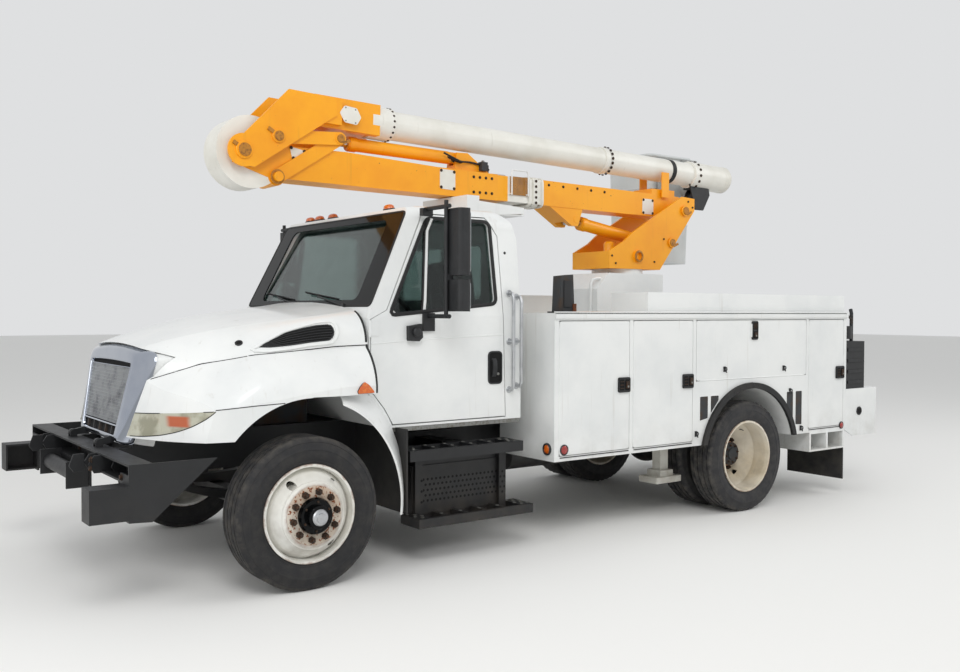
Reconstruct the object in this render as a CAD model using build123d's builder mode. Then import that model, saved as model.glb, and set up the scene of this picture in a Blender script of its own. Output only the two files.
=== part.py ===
from build123d import *
import math
import os

os.makedirs("parts", exist_ok=True)

# Articulated bucket truck, in millimetres: +X forward, +Y to the driver's side, +Z up, z = 0 on the
# ground. The origin lies under the middle of the overall length, half way between the sides.

# Chassis stations
wheelbase = 4040
front_overhang = 1260
rear_overhang = 1980
front_axle_x = (wheelbase + rear_overhang - front_overhang) / 2
rear_axle_x = front_axle_x - wheelbase
nose_x = front_axle_x + front_overhang
tail_x = rear_axle_x - rear_overhang

# Running fits between pieces
seat_gap = 0.3
swing_gap = 5

# Wheels and tyres
tyre_radius = 462
tyre_width = 255
tread_width = 212
rim_seat_radius = 285
rim_flange_radius = 298.5
rim_width = 210
rim_flange_thickness = 12
rim_wall = 10
disc_offset = 168
disc_thickness = 12
hub_face_radius = 185
hub_radius = 108
hub_cap_radius = 62
hub_cap_length = 75
drum_radius = 205
drum_length = 150
hub_bore_radius = 45.3
hand_hole_radius = 26
hand_hole_circle = 222
front_wheel_y = 1061
rear_wheel_y = 1053
rear_inner_wheel_y = rear_wheel_y - 2 * disc_offset

# Frame rails, right under the cab
cab_bottom_z = 915
rail_top_z = cab_bottom_z - seat_gap
rail_height = 250
rail_flange = 80
rail_thickness = 9
rail_outer_y = 430
rail_bottom_z = rail_top_z - rail_height
rail_front_x = front_axle_x + 815
rail_rear_x = rear_axle_x - 1359
cross_member_width = 70
cross_member_inset = 30

# Axles, springs and knuckles
kingpin_y = 870
kingpin_radius = 22
kingpin_boss_radius = 46
kingpin_boss_height = 96
knuckle_ear_height = 34
spindle_radius = hub_bore_radius - seat_gap
beam_drop = 62
beam_width = 95
beam_height = 90
spring_width = 76
spring_thickness = 62
spring_half_length = 640
front_spring_y = 385
rear_spring_y = 480
axle_tube_radius = 62
diff_radius = 185
shaft_radius = 44

# Engine and gearbox
engine_length = 1050
engine_width = 600
engine_mount_rise = 20
engine_bottom_z = rail_bottom_z + engine_mount_rise + seat_gap
engine_top_z = 1330
gearbox_length = 640
gearbox_width = 430
gearbox_bottom_z = 520
gearbox_top_z = 900
engine_front_x = front_axle_x + 640

# Cab
cab_back_x = front_axle_x - 1738
cab_front_x = front_axle_x - 502
cab_belt_z = 1640
cab_roof_z = 2408
cab_half_width = 1000
cab_roof_half_width = 940
cab_wall = 45
cab_floor_z = cab_bottom_z + cab_wall
door_gap = 8
hinge_radius = 6
door_front_x = cab_front_x - 6
door_rear_top_x = front_axle_x - 1568
door_rear_bottom_x = front_axle_x - 1606
door_bottom_z = cab_bottom_z + 14
door_top_z = 2330
windshield_top_x = front_axle_x - 872
windshield_base_x = front_axle_x - 520
windshield_base_z = 1690
windshield_top_z = 2345
glass_thickness = 6

# Tilting hood and fenders
hood_rear_x = cab_front_x + 12
hood_wall = 18
fender_half_width = 1150
arch_centre_x = front_axle_x - 30
arch_half_length = 625
arch_height = 690
fender_bottom_z = 918
fender_rear_z = 1155
splash_thickness = 14
splash_low_z = 372
splash_rear = 700
hood_hinge_x = front_axle_x + 985
hood_hinge_z = 872
hood_hinge_y = 300
hood_pin_radius = 11
nose_rake = 0.192
grille_base_x = front_axle_x + 916
grille_bottom_z = 880
grille_back_depth = 82

# Front bumper
bumper_back_x = front_axle_x + 925
bumper_face_x = front_axle_x + 1055
bumper_top_z = 846
bumper_bottom_z = 735
bumper_half_width = 1150
bumper_plate = 12
end_box_width = 150
end_box_height = 184
end_box_z = 637

# Service body
body_front_x = front_axle_x - 1890
body_rear_x = rear_axle_x - 1360
body_bottom_z = 604
body_top_z = 1657
body_half_width = 1194
pack_inner_y = 560
body_wall = 20
body_floor_z = 1050
wheel_well_radius = 575
well_top_z = 1062
open_box_height = 172
open_box_rear_x = body_rear_x + 20
panel_thickness = 32
rail_box_height = 165
rail_box_front_x = front_axle_x - 2850
rail_box_inner_y = 760
rail_box_outer_y = 1165
flap_thickness = 12
flap_bottom_z = 140
machine_y = 945

# Pedestal and turret
slew_axis_x = rear_axle_x + 390
pedestal_half_width = 250
pedestal_front_x = slew_axis_x + 341
pedestal_rear_x = slew_axis_x - 132
pedestal_top_z = 2008
pedestal_rear_half_length = 360
turret_half_width = 240
turret_plate = 22
turret_base_z = 2050
boom_pivot_x = rear_axle_x - 230
boom_pin_radius = 38

# Booms
boom_half_width = 115
elbow_x = front_axle_x - 9
elbow_z = 2756
boom_pivot_z = elbow_z - 154
link_pin_x = front_axle_x - 259
link_pin_z = elbow_z + 118
low_pin_x = front_axle_x - 270
low_pin_z = elbow_z - 156
eye_pin_x = front_axle_x - 750
eye_pin_z = elbow_z + 154
trunnion_x = front_axle_x - 1890
trunnion_z = elbow_z + 130
saddle_z = elbow_z + 69
link_pin_radius = 34
link_a_y = 120
link_a_thickness = 15
link_b_y = 140
link_b_thickness = 13
head_plate_y = 160
head_plate_thickness = 16
tube_radius = 109
tube_front_x = front_axle_x - 800
tube_front_z = elbow_z + 338
tip_x = rear_axle_x - 1000
tip_z = tube_front_z - 122
bucket_front_x = rear_axle_x - 430
bucket_length = 620
bucket_width = 600
bucket_side_y = -400
bucket_height = 1060
bucket_wall = 14
bucket_shaft_x = rear_axle_x - 890
bucket_shaft_z = tip_z - 72
bucket_bottom_z = bucket_shaft_z - 740

# Cylinders
lower_eye_x = rear_axle_x + 985
lower_eye_z = boom_pivot_z - 136
lower_base_x = rear_axle_x - 60
lower_base_z = boom_pivot_z - 300
lower_cylinder_radius = 55
upper_cylinder_radius = 50
rod_radius = 28


# Outriggers
leg_x = front_axle_x - 3403
leg_y = 780
leg_width = 90
leg_top_z = 1080
leg_pad_z = 262
leg_pad_size = 290


def boom_bottom(x):
    """Height of the lower boom's underside at a station."""
    return elbow_z - 172 + (x - front_axle_x + 815) * 0.0125


def boom_top(x):
    """Height of the lower boom's rear top line at a station."""
    return elbow_z + 32 + (x - front_axle_x + 1615) * 0.0157


def tube_line(x):
    """Height of the upper boom's middle line at a station."""
    return tube_front_z + (x - tube_front_x) * (tube_front_z - tip_z) / (tube_front_x - tip_x)


def turn_up(point, centre, angle):
    """Turn a point of the side view about a centre, the front going up for a positive angle."""
    turned = math.radians(angle)
    across = point[0] - centre[0]
    up = point[1] - centre[1]
    return (
        centre[0] + across * math.cos(turned) - up * math.sin(turned),
        centre[1] + across * math.sin(turned) + up * math.cos(turned),
    )


def side_plane(y):
    """A sketch plane across Y at the given y, with X across and Z up, that extrudes towards -Y."""
    return Plane(origin=(0, y, 0), x_dir=(1, 0, 0), z_dir=(0, -1, 0))


def wheel_plane(x, y, side):
    """A sketch plane through a wheel's axis, with outboard across and the radius up."""
    return Plane(origin=(x, y, tyre_radius), x_dir=(0, side, 0), z_dir=(side, 0, 0))


def wheel_axis(x):
    """The axis that a wheel turns about."""
    return Axis((x, 0, tyre_radius), (0, 1, 0))


def finish(piece, name):
    """Label a finished piece and write its STEP file."""
    piece.part.label = name
    export_step(piece.part, "parts/" + name + ".step")


# Tyres: one closed ring each, bead to tread
def tyre_profile():
    """Half section of a tyre as a closed outline, drawn across its width."""
    bead = rim_width / 2 - seat_gap
    seat = rim_seat_radius + seat_gap
    shoulder = tread_width / 2
    middle = (rim_flange_radius + tyre_radius) / 2
    with BuildLine() as outline:
        Line((-bead, seat), (bead, seat))
        Line((bead, seat), (bead, rim_flange_radius))
        ThreePointArc((bead, rim_flange_radius), (tyre_width / 2, middle), (shoulder, tyre_radius - 14))
        ThreePointArc((shoulder, tyre_radius - 14), (shoulder - 5, tyre_radius - 5), (shoulder - 16, tyre_radius))
        Line((shoulder - 16, tyre_radius), (16 - shoulder, tyre_radius))
        ThreePointArc((16 - shoulder, tyre_radius), (5 - shoulder, tyre_radius - 5), (-shoulder, tyre_radius - 14))
        ThreePointArc((-shoulder, tyre_radius - 14), (-tyre_width / 2, middle), (-bead, rim_flange_radius))
        Line((-bead, rim_flange_radius), (-bead, seat))
    return outline


def make_tyres(x, centres):
    """Tyres on one axle end, one ring for each centre."""
    with BuildPart() as tyres:
        for y in centres:
            with BuildSketch(wheel_plane(x, y, 1)):
                with BuildLine():
                    add(tyre_profile())
                make_face()
            revolve(axis=wheel_axis(x))
    return tyres


def rim_sketch(x, y, side, dish):
    """Rim barrel and disc section; dish is 1 where the disc stands outboard and -1 where it lies inboard."""
    edge = rim_width / 2
    outer = edge + rim_flange_thickness
    inner = rim_seat_radius - rim_wall
    face = dish * disc_offset
    back = dish * (disc_offset - disc_thickness)
    with BuildSketch(wheel_plane(x, y, side)) as section:
        with BuildLine():
            Polyline(
                (-outer, inner + 8),
                (-outer, rim_flange_radius),
                (-edge, rim_flange_radius),
                (-edge, rim_seat_radius),
                (edge, rim_seat_radius),
                (edge, rim_flange_radius),
                (outer, rim_flange_radius),
                (outer, inner + 8),
                (edge - 20, inner),
                (20 - edge, inner),
                close=True,
            )
        make_face()
        with BuildLine():
            Polyline(
                (dish * 50, inner + 4),
                (dish * 96, inner - 24),
                (dish * (disc_offset - 26), hub_face_radius + 28),
                (face, hub_face_radius),
                (face, hub_radius - 2),
                (back, hub_radius - 2),
                (back, hub_face_radius - 6),
                (dish * (disc_offset - 40), hub_face_radius + 20),
                (dish * 84, inner - 34),
                (dish * 36, inner + 1),
                close=True,
            )
        make_face()
    return section


def make_front_wheel(side):
    """Steel disc wheel with its hub, drum and cap, on a steered axle end."""
    y = side * front_wheel_y
    with BuildPart() as wheel:
        revolve(rim_sketch(front_axle_x, y, side, 1).sketch, axis=wheel_axis(front_axle_x))
        hub_plane = Plane(
            origin=(front_axle_x, y + side * (disc_offset - drum_length), tyre_radius), z_dir=(0, side, 0)
        )
        with BuildSketch(hub_plane):
            Circle(drum_radius)
            Circle(drum_radius - 14, mode=Mode.SUBTRACT)
        extrude(amount=drum_length - disc_thickness)
        with BuildSketch(hub_plane.offset(drum_length - 2 * disc_thickness - 6)):
            Circle(drum_radius)
        extrude(amount=disc_thickness + 6)
        with BuildSketch(hub_plane.offset(30)):
            Circle(hub_radius - 22)
        extrude(amount=drum_length - 20)
        with BuildSketch(hub_plane.offset(drum_length)):
            Circle(hub_radius)
        extrude(amount=32, taper=12)
        with BuildSketch(hub_plane.offset(drum_length + 30)):
            Circle(hub_cap_radius)
        extrude(amount=hub_cap_length - 30, taper=5)
        with BuildSketch(hub_plane.offset(-1)):
            Circle(hub_bore_radius)
        extrude(amount=drum_length, mode=Mode.SUBTRACT)
        with Locations(hub_plane.offset(drum_length - 60)):
            with PolarLocations(hand_hole_circle, 2, start_angle=35):
                Cylinder(hand_hole_radius, 90, mode=Mode.SUBTRACT)
    return wheel


def make_rear_wheels(side):
    """Twin disc wheels bolted back to back on one hub."""
    y = side * rear_wheel_y
    y_inner = side * rear_inner_wheel_y
    with BuildPart() as wheels:
        revolve(rim_sketch(rear_axle_x, y, side, -1).sketch, axis=wheel_axis(rear_axle_x))
        revolve(rim_sketch(rear_axle_x, y_inner, side, 1).sketch, axis=wheel_axis(rear_axle_x))
        disc_plane = Plane(origin=(rear_axle_x, y - side * disc_offset, tyre_radius), z_dir=(0, side, 0))
        with BuildSketch(disc_plane.offset(-drum_length)):
            Circle(drum_radius)
            Circle(axle_tube_radius + swing_gap, mode=Mode.SUBTRACT)
        extrude(amount=drum_length)
        with BuildSketch(disc_plane.offset(-disc_thickness - 60)):
            Circle(axle_tube_radius + 18)
            Circle(axle_tube_radius + seat_gap, mode=Mode.SUBTRACT)
        extrude(amount=61)
        with BuildSketch(disc_plane.offset(-disc_thickness)):
            Circle(hub_radius)
        extrude(amount=disc_thickness + 66)
        with BuildSketch(disc_plane.offset(60)):
            Circle(hub_cap_radius + 22)
        extrude(amount=40, taper=8)
        with Locations(disc_plane):
            with PolarLocations(hand_hole_circle, 2, start_angle=35):
                Cylinder(hand_hole_radius, 120, mode=Mode.SUBTRACT)
    return wheels


for side, word in ((1, "left"), (-1, "right")):
    finish(make_tyres(front_axle_x, [side * front_wheel_y]), "front_tyre_" + word)
    finish(make_tyres(rear_axle_x, [side * rear_wheel_y, side * rear_inner_wheel_y]), "rear_tyres_" + word)
    finish(make_front_wheel(side), "front_wheel_" + word)
    finish(make_rear_wheels(side), "rear_wheels_" + word)


# Knuckles: a yoke around the beam's end, with the spindle that carries the wheel
def make_knuckle(side):
    """Steering knuckle with its kingpin, yoke ears, backing plate and spindle."""
    y = side * kingpin_y
    boss_top = tyre_radius + kingpin_boss_height / 2
    boss_bottom = tyre_radius - kingpin_boss_height / 2
    web_y = y + side * (kingpin_boss_radius + swing_gap + 14)
    with BuildPart() as knuckle:
        for low in (boss_top + 2, boss_bottom - 2 - knuckle_ear_height):
            with BuildSketch(Plane.XY.offset(low)):
                with Locations((front_axle_x, y)):
                    Circle(kingpin_boss_radius)
                with Locations((front_axle_x, (y + web_y) / 2)):
                    Rectangle(2 * kingpin_boss_radius, abs(web_y - y) + 28)
            extrude(amount=knuckle_ear_height)
        with Locations((front_axle_x, web_y, tyre_radius)):
            Box(2 * kingpin_boss_radius, 28, kingpin_boss_height + 4 + 2 * knuckle_ear_height)
        with Locations((front_axle_x, y, tyre_radius)):
            Cylinder(kingpin_radius, kingpin_boss_height + 2 * knuckle_ear_height)
        with BuildSketch(Plane(origin=(front_axle_x, web_y + side * 14, tyre_radius), z_dir=(0, side, 0))):
            Circle(drum_radius - 22)
        extrude(amount=8)
        with BuildSketch(Plane(origin=(front_axle_x, web_y, tyre_radius), z_dir=(0, side, 0))):
            Circle(spindle_radius)
        extrude(amount=front_wheel_y + disc_offset - disc_thickness - abs(web_y) - 30)
        with Locations((front_axle_x - 110, y - side * 40, tyre_radius - 80)):
            Box(220, 34, 26)
    return knuckle


for side, word in ((1, "left"), (-1, "right")):
    finish(make_knuckle(side), "knuckle_" + word)


# Frame: two channel rails with cross members between them
cross_stations = (
    rail_front_x - 60,
    front_axle_x + 60,
    front_axle_x - 1250,
    front_axle_x - 2100,
    rear_axle_x + 620,
    rear_axle_x - 620,
    rail_rear_x + 60,
)
with BuildPart() as frame_rails:
    with BuildSketch(Plane.YZ.offset(rail_rear_x)):
        with Locations((rail_outer_y - rail_flange / 2, rail_top_z - rail_height / 2)):
            Rectangle(rail_flange, rail_height)
        with Locations((rail_outer_y - rail_thickness - rail_flange / 2, rail_top_z - rail_height / 2)):
            Rectangle(rail_flange, rail_height - 2 * rail_thickness, mode=Mode.SUBTRACT)
        mirror(about=Plane.YZ)
    extrude(amount=rail_front_x - rail_rear_x)
    for x in cross_stations:
        drop = cross_member_inset if abs(x - front_axle_x) > 100 else 0
        low = rail_bottom_z if drop else rail_bottom_z - 30
        high = rail_top_z - drop if drop else rail_bottom_z + engine_mount_rise
        with Locations((x, 0, (low + high) / 2)):
            Box(cross_member_width, 2 * (rail_outer_y - rail_thickness) + 1, high - low)
        with Locations((x + rail_thickness, 0, (low + high) / 2)):
            Box(cross_member_width, 2 * (rail_outer_y - rail_flange), high - low - 2 * rail_thickness,
                mode=Mode.SUBTRACT)
    for axle_x, spring_y in ((front_axle_x, front_spring_y), (rear_axle_x, rear_spring_y)):
        hanger_y = max(spring_y, rail_outer_y - rail_flange / 2 + 12)
        for end in (-1, 1):
            with Locations((axle_x + end * (spring_half_length + 45 + seat_gap), hanger_y, rail_bottom_z - 20)):
                Box(90, 60 if spring_y < rail_outer_y else 2 * (spring_y - rail_outer_y) + 20, 90)
    mirror(about=Plane.XZ)
finish(frame_rails, "frame_rails")


def leaf_spring(x, y, middle_z):
    """A leaf spring pack: an arched bar, thick at the axle seat and thin at its eyes."""
    end_z = rail_bottom_z - 30
    with BuildSketch(side_plane(y + spring_width / 2)) as spring:
        with BuildLine():
            low = middle_z - spring_thickness
            ThreePointArc((x - spring_half_length, end_z), (x, middle_z), (x + spring_half_length, end_z))
            Line((x + spring_half_length, end_z), (x + spring_half_length, end_z - 24))
            ThreePointArc((x + spring_half_length, end_z - 24), (x, low), (x - spring_half_length, end_z - 24))
            Line((x - spring_half_length, end_z - 24), (x - spring_half_length, end_z))
        make_face()
    return spring


# Front axle: a dropped beam between the kingpins, on two leaf springs
beam_z = tyre_radius - beam_drop
with BuildPart() as front_axle:
    for side in (1, -1):
        with BuildSketch(Plane.XY.offset(tyre_radius - kingpin_boss_height / 2)):
            with Locations((front_axle_x, side * kingpin_y)):
                Circle(kingpin_boss_radius)
        extrude(amount=kingpin_boss_height)
    with BuildSketch(Plane.YZ.offset(front_axle_x - beam_width / 2)):
        Polygon(
            (-kingpin_y, tyre_radius + 40), (-kingpin_y + 120, tyre_radius + 10),
            (-kingpin_y + 260, beam_z + beam_height / 2), (kingpin_y - 260, beam_z + beam_height / 2),
            (kingpin_y - 120, tyre_radius + 10), (kingpin_y, tyre_radius + 40),
            (kingpin_y, tyre_radius - 40), (kingpin_y - 150, tyre_radius - 46),
            (kingpin_y - 300, beam_z - beam_height / 2), (300 - kingpin_y, beam_z - beam_height / 2),
            (150 - kingpin_y, tyre_radius - 46), (-kingpin_y, tyre_radius - 40),
            align=None,
        )
    extrude(amount=beam_width)
    for side in (1, -1):
        with Locations((front_axle_x, side * kingpin_y, tyre_radius)):
            Cylinder(kingpin_boss_radius + swing_gap + 60, 400, mode=Mode.SUBTRACT)
            Cylinder(kingpin_boss_radius, kingpin_boss_height)
        with Locations((front_axle_x, side * (kingpin_y - 72), tyre_radius)):
            Box(72, 100, kingpin_boss_height - 20)
        with Locations((front_axle_x, side * kingpin_y, tyre_radius)):
            Cylinder(kingpin_radius + seat_gap, 200, mode=Mode.SUBTRACT)
        spring = leaf_spring(front_axle_x, side * front_spring_y, beam_z + beam_height / 2 + spring_thickness - 2)
        extrude(spring.sketch, amount=spring_width)
finish(front_axle, "front_axle")

# Rear axle: banjo housing on two leaf springs, with the propeller shaft to the gearbox
gearbox_rear_x = engine_front_x - engine_length - gearbox_length
with BuildPart() as rear_axle:
    tube_end = rear_wheel_y - disc_offset - disc_thickness - swing_gap
    with Locations((rear_axle_x, 0, tyre_radius)):
        Cylinder(axle_tube_radius, 2 * tube_end, rotation=(90, 0, 0))
        Sphere(diff_radius)
    with BuildSketch(Plane.YZ.offset(rear_axle_x + 130)):
        with Locations((0, tyre_radius)):
            Circle(90)
    extrude(amount=140, taper=8)
    for side in (1, -1):
        spring_z = tyre_radius + axle_tube_radius + spring_thickness - 6
        spring = leaf_spring(rear_axle_x, side * rear_spring_y, spring_z)
        extrude(spring.sketch, amount=spring_width)
    shaft_start = Vector(rear_axle_x + 240, 0, tyre_radius)
    shaft_end = Vector(gearbox_rear_x - seat_gap, 0, (gearbox_bottom_z + gearbox_top_z) / 2 - 100)
    shaft_plane = Plane(origin=shaft_start, z_dir=shaft_end - shaft_start)
    with BuildSketch(shaft_plane):
        Circle(shaft_radius)
    extrude(amount=(shaft_end - shaft_start).length - 20)
finish(rear_axle, "rear_axle")

# Engine and gearbox as one plain mass at its real place
with BuildPart() as engine_block:
    with Locations((engine_front_x - engine_length / 2, 0, (engine_bottom_z + engine_top_z) / 2)):
        Box(engine_length, engine_width, engine_top_z - engine_bottom_z)
    gearbox_x = engine_front_x - engine_length - gearbox_length / 2 + 1
    with Locations((gearbox_x, 0, (gearbox_bottom_z + gearbox_top_z) / 2)):
        Box(gearbox_length, gearbox_width, gearbox_top_z - gearbox_bottom_z)
finish(engine_block, "engine_block")


# Cab: a rounded box from its side and front outlines, hollow, with door, windshield and rear openings
def cab_side_outline(inset):
    """The cab's side outline, moved in by inset on every side."""
    back = cab_back_x + inset
    with BuildLine() as outline:
        points = (
            (back, cab_bottom_z + inset),
            (back, 2180),
            (back + 40, 2310),
            (back + 150, cab_roof_z - 22 - inset),
            (windshield_top_x - 230, cab_roof_z - inset),
            (windshield_top_x + 20 - inset, windshield_top_z + 22 - inset),
            (windshield_base_x - inset, windshield_base_z),
            (cab_front_x - inset, windshield_base_z - 60),
            (cab_front_x - inset, 1100),
            (cab_front_x - 120 - inset, cab_bottom_z + inset),
        )
        Polyline(*points, close=True)
    return outline


def cab_front_outline(inset):
    """The cab's front outline, moved in by inset on every side."""
    wide = cab_half_width - inset
    narrow = cab_roof_half_width - inset
    roof = cab_roof_z - inset
    with BuildLine() as outline:
        Polyline((narrow, 2240), (wide, cab_belt_z), (wide, cab_bottom_z + inset), (-wide, cab_bottom_z + inset),
                 (-wide, cab_belt_z), (-narrow, 2240))
        ThreePointArc((-narrow, 2240), (35 - narrow, roof - 70), (130 - narrow, roof - 22))
        ThreePointArc((130 - narrow, roof - 22), (0, roof), (narrow - 130, roof - 22))
        ThreePointArc((narrow - 130, roof - 22), (narrow - 35, roof - 70), (narrow, 2240))
    return outline


def cab_solid(inset):
    """The cab's outer or inner form as one closed solid."""
    with BuildPart() as form:
        with BuildSketch(side_plane(cab_half_width + 50)):
            with BuildLine():
                add(cab_side_outline(inset))
            make_face()
        extrude(amount=2 * cab_half_width + 100)
        with BuildSketch(Plane.YZ.offset(cab_back_x - 50)):
            with BuildLine():
                add(cab_front_outline(inset))
            make_face()
        extrude(amount=cab_front_x - cab_back_x + 200, mode=Mode.INTERSECT)
    return form.part


def door_outline(inset):
    """The door's outline seen from the side, moved in by inset."""
    return (
        (door_front_x - inset, windshield_base_z - 70),
        (door_front_x - inset, 1165),
        (door_front_x - 45 - inset, 1110),
        (door_front_x - 98 - inset, 1045),
        (door_front_x - 140 - inset, 978),
        (door_front_x - 164 - inset, door_bottom_z + inset),
        (door_rear_bottom_x + inset, door_bottom_z + inset),
        (door_rear_top_x + inset, 2200),
        (door_rear_top_x + 90 + inset, door_top_z - inset),
        (windshield_top_x - 70 - inset, door_top_z - inset),
        (windshield_base_x - 110 - inset, windshield_base_z - 10),
    )


cab_outer = cab_solid(0)
cab_inner = cab_solid(cab_wall)
with BuildPart() as door_cutter:
    with BuildSketch(side_plane(cab_half_width + 60)):
        Polygon(*door_outline(0), align=None)
    extrude(amount=2 * cab_half_width + 120)
    with Locations((cab_front_x, 0, 0)):
        Box(4000, 2 * (cab_half_width - cab_wall - swing_gap), 2 * cab_belt_z, mode=Mode.SUBTRACT)
        Box(4000, 2 * (cab_roof_half_width - 2 * cab_wall), 6000, mode=Mode.SUBTRACT)

with BuildPart() as cab_shell:
    add(cab_outer)
    add(cab_inner, mode=Mode.SUBTRACT)
    add(door_cutter.part, mode=Mode.SUBTRACT)
    with BuildSketch(Plane.YZ.offset(windshield_top_x - 60)):
        Polygon((780, windshield_base_z + 34), (720, windshield_top_z - 34), (-720, windshield_top_z - 34),
                (-780, windshield_base_z + 34), align=None)
        fillet(vertices(), 60)
    extrude(amount=600, mode=Mode.SUBTRACT)
    with BuildSketch(Plane.YZ.offset(cab_back_x - 20)):
        with Locations((0, 1960)):
            RectangleRounded(1150, 400, 50)
    extrude(amount=cab_wall + 60, mode=Mode.SUBTRACT)
finish(cab_shell, "cab_shell")

# Fixed glass: the raked windshield and the rear window, each a thin pane in its opening
rake_run = windshield_base_x - windshield_top_x
rake_rise = windshield_top_z - windshield_base_z
rake_out = Vector(rake_rise, 0, rake_run).normalized()
with BuildPart() as cab_glass:
    pane_base = Vector(windshield_base_x + 20, 0, windshield_base_z) - rake_out * (cab_wall / 2 + 6)
    pane_plane = Plane(origin=pane_base, x_dir=(0, 1, 0), z_dir=rake_out)
    with BuildSketch(Plane.YZ.offset(windshield_top_x - 60)):
        Polygon((780 - seat_gap, windshield_base_z + 34 + seat_gap),
                (720 - seat_gap, windshield_top_z - 34 - seat_gap),
                (seat_gap - 720, windshield_top_z - 34 - seat_gap),
                (seat_gap - 780, windshield_base_z + 34 + seat_gap), align=None)
        fillet(vertices(), 60)
    extrude(amount=600)
    with Locations(pane_plane):
        Box(3000, 3000, glass_thickness, mode=Mode.INTERSECT)
    with BuildSketch(Plane.YZ.offset(cab_back_x + cab_wall / 2)):
        with Locations((0, 1960)):
            RectangleRounded(1150 - 2 * seat_gap, 400 - 2 * seat_gap, 49)
    extrude(amount=glass_thickness)
finish(cab_glass, "cab_glass")

# Dashboard with the steering column and wheel
with BuildPart() as dashboard:
    dash_half = cab_half_width - cab_wall - 60
    dash_front = cab_front_x - cab_wall - seat_gap
    with BuildSketch(side_plane(dash_half)):
        Polygon((dash_front, 1220), (dash_front, 1610), (dash_front - 50, 1680), (dash_front - 180, 1690),
                (dash_front - 330, 1600),
                (dash_front - 330, 1450), (dash_front - 200, 1220), align=None)
    extrude(amount=2 * dash_half)
    column_start = Vector(dash_front - 250, 430, 1440)
    column_end = Vector(dash_front - 500, 430, 1650)
    column_plane = Plane(origin=column_start, z_dir=column_end - column_start)
    with BuildSketch(column_plane):
        Circle(35)
    extrude(amount=(column_end - column_start).length)
    wheel_face = Plane(origin=column_end, z_dir=column_end - column_start)
    with Locations(wheel_face):
        Torus(215, 15)
        Cylinder(60, 34)
        with PolarLocations(0, 3, start_angle=90):
            with Locations((105, 0, 0)):
                Box(220, 34, 14)
finish(dashboard, "dashboard")


# Seats: two buckets, each a cushion on its base and a backrest with a headrest
def seat_profile():
    """Side outline of one seat, from its base to its headrest."""
    back = cab_back_x + cab_wall + 90
    return (
        (back + 130, cab_floor_z + seat_gap), (back + 560, cab_floor_z + seat_gap), (back + 560, 1260), (back + 640, 1290),
        (back + 630, 1400), (back + 190, 1370), (back + 120, 1960), (back + 20, 1960), (back + 40, 1300),
        (back + 130, 1260),
    )


with BuildPart() as cab_seats:
    for y in (430, -430):
        with BuildSketch(side_plane(y + 250)):
            Polygon(*seat_profile(), align=None)
            fillet(vertices(), 25)
        extrude(amount=500)
finish(cab_seats, "cab_seats")


# Doors: the wall inside the door outline, less its gap, with the window cut through
def window_outline(inset):
    """The door window seen from the side, moved in by inset."""
    return (
        (door_front_x - 154 - inset, 1655 + inset),
        (door_rear_bottom_x + 92 + inset, 1735 + inset),
        (door_rear_top_x + 78 + inset, door_top_z - 42 - inset),
        (windshield_top_x - 112 - inset, door_top_z - 42 - inset),
    )


def make_cab_door(side):
    """A cab door with its window opening."""
    with BuildPart() as door:
        add(cab_outer)
        add(cab_inner, mode=Mode.SUBTRACT)
        with BuildSketch(side_plane(side * cab_half_width + 200)):
            Polygon(*door_outline(door_gap), align=None)
        extrude(amount=400, mode=Mode.INTERSECT)
        with Locations((cab_front_x, 0, 0)):
            Box(4000, 2 * (cab_half_width - cab_wall), 2 * cab_belt_z, mode=Mode.SUBTRACT)
            Box(4000, 2 * (cab_roof_half_width - 2 * cab_wall + swing_gap), 6000, mode=Mode.SUBTRACT)
        with BuildSketch(side_plane(side * cab_half_width + 200)):
            Polygon(*window_outline(0), align=None)
            fillet(vertices(), 30)
        extrude(amount=400, mode=Mode.SUBTRACT)
        hinge_x = door_front_x + 3
        hinge_y = side * (cab_half_width + hinge_radius + seat_gap)
        for z in (1235, 1560):
            with Locations((hinge_x, hinge_y, z)):
                Cylinder(hinge_radius, 110)
            with Locations((hinge_x - 32, side * (cab_half_width + hinge_radius / 2 + seat_gap), z)):
                Box(64, hinge_radius, 90)
            with Locations((hinge_x - 45, side * (cab_half_width + 1), z)):
                Box(38, 6, 90)
    return door


def make_door_glass(side):
    """The door's window: a thin pane that follows the door's slope."""
    with BuildPart() as pane:
        add(cab_solid(cab_wall / 2 - glass_thickness / 2))
        add(cab_solid(cab_wall / 2 + glass_thickness / 2), mode=Mode.SUBTRACT)
        with BuildSketch(side_plane(side * cab_half_width + 200)):
            Polygon(*window_outline(seat_gap), align=None)
            fillet(vertices(), 30 - seat_gap)
        extrude(amount=400, mode=Mode.INTERSECT)
    return pane


def make_mirror(side):
    """Tall mirror head with its lower spot mirror, on two tubular arms from the door."""
    outer = side * 1255
    skin = side * (cab_half_width + seat_gap)
    head_x = front_axle_x - 1010
    with BuildPart() as mirror_unit:
        with BuildSketch(Plane.XY.offset(1905)):
            with Locations((head_x, side * 1262)):
                RectangleRounded(95, 176, 30)
        extrude(amount=430)
        with BuildSketch(Plane.XY.offset(1672)):
            with Locations((head_x, side * 1262)):
                RectangleRounded(95, 176, 30)
        extrude(amount=205)
        with Locations((head_x + 62, outer - side * 40, 2010)):
            Cylinder(14, 760)
        for z, reach in ((2350, 70), (1640, 0)):
            low_y = side * (cab_roof_half_width + 24) if reach else skin
            with BuildSketch(side_plane(max(outer, low_y))):
                with Locations((head_x + 62, z)):
                    Circle(14)
            extrude(amount=abs(outer - low_y))
        with Locations((head_x + 62, skin + side * 9, 1600)):
            Box(90, 18, 120)
        with Locations((head_x + 62, side * (cab_roof_half_width + 40), 2330)):
            Box(80, 40, 50)
        with Locations((head_x + 45, outer - side * 40, 1893)):
            Box(50, 40, 40)
    return mirror_unit


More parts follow.
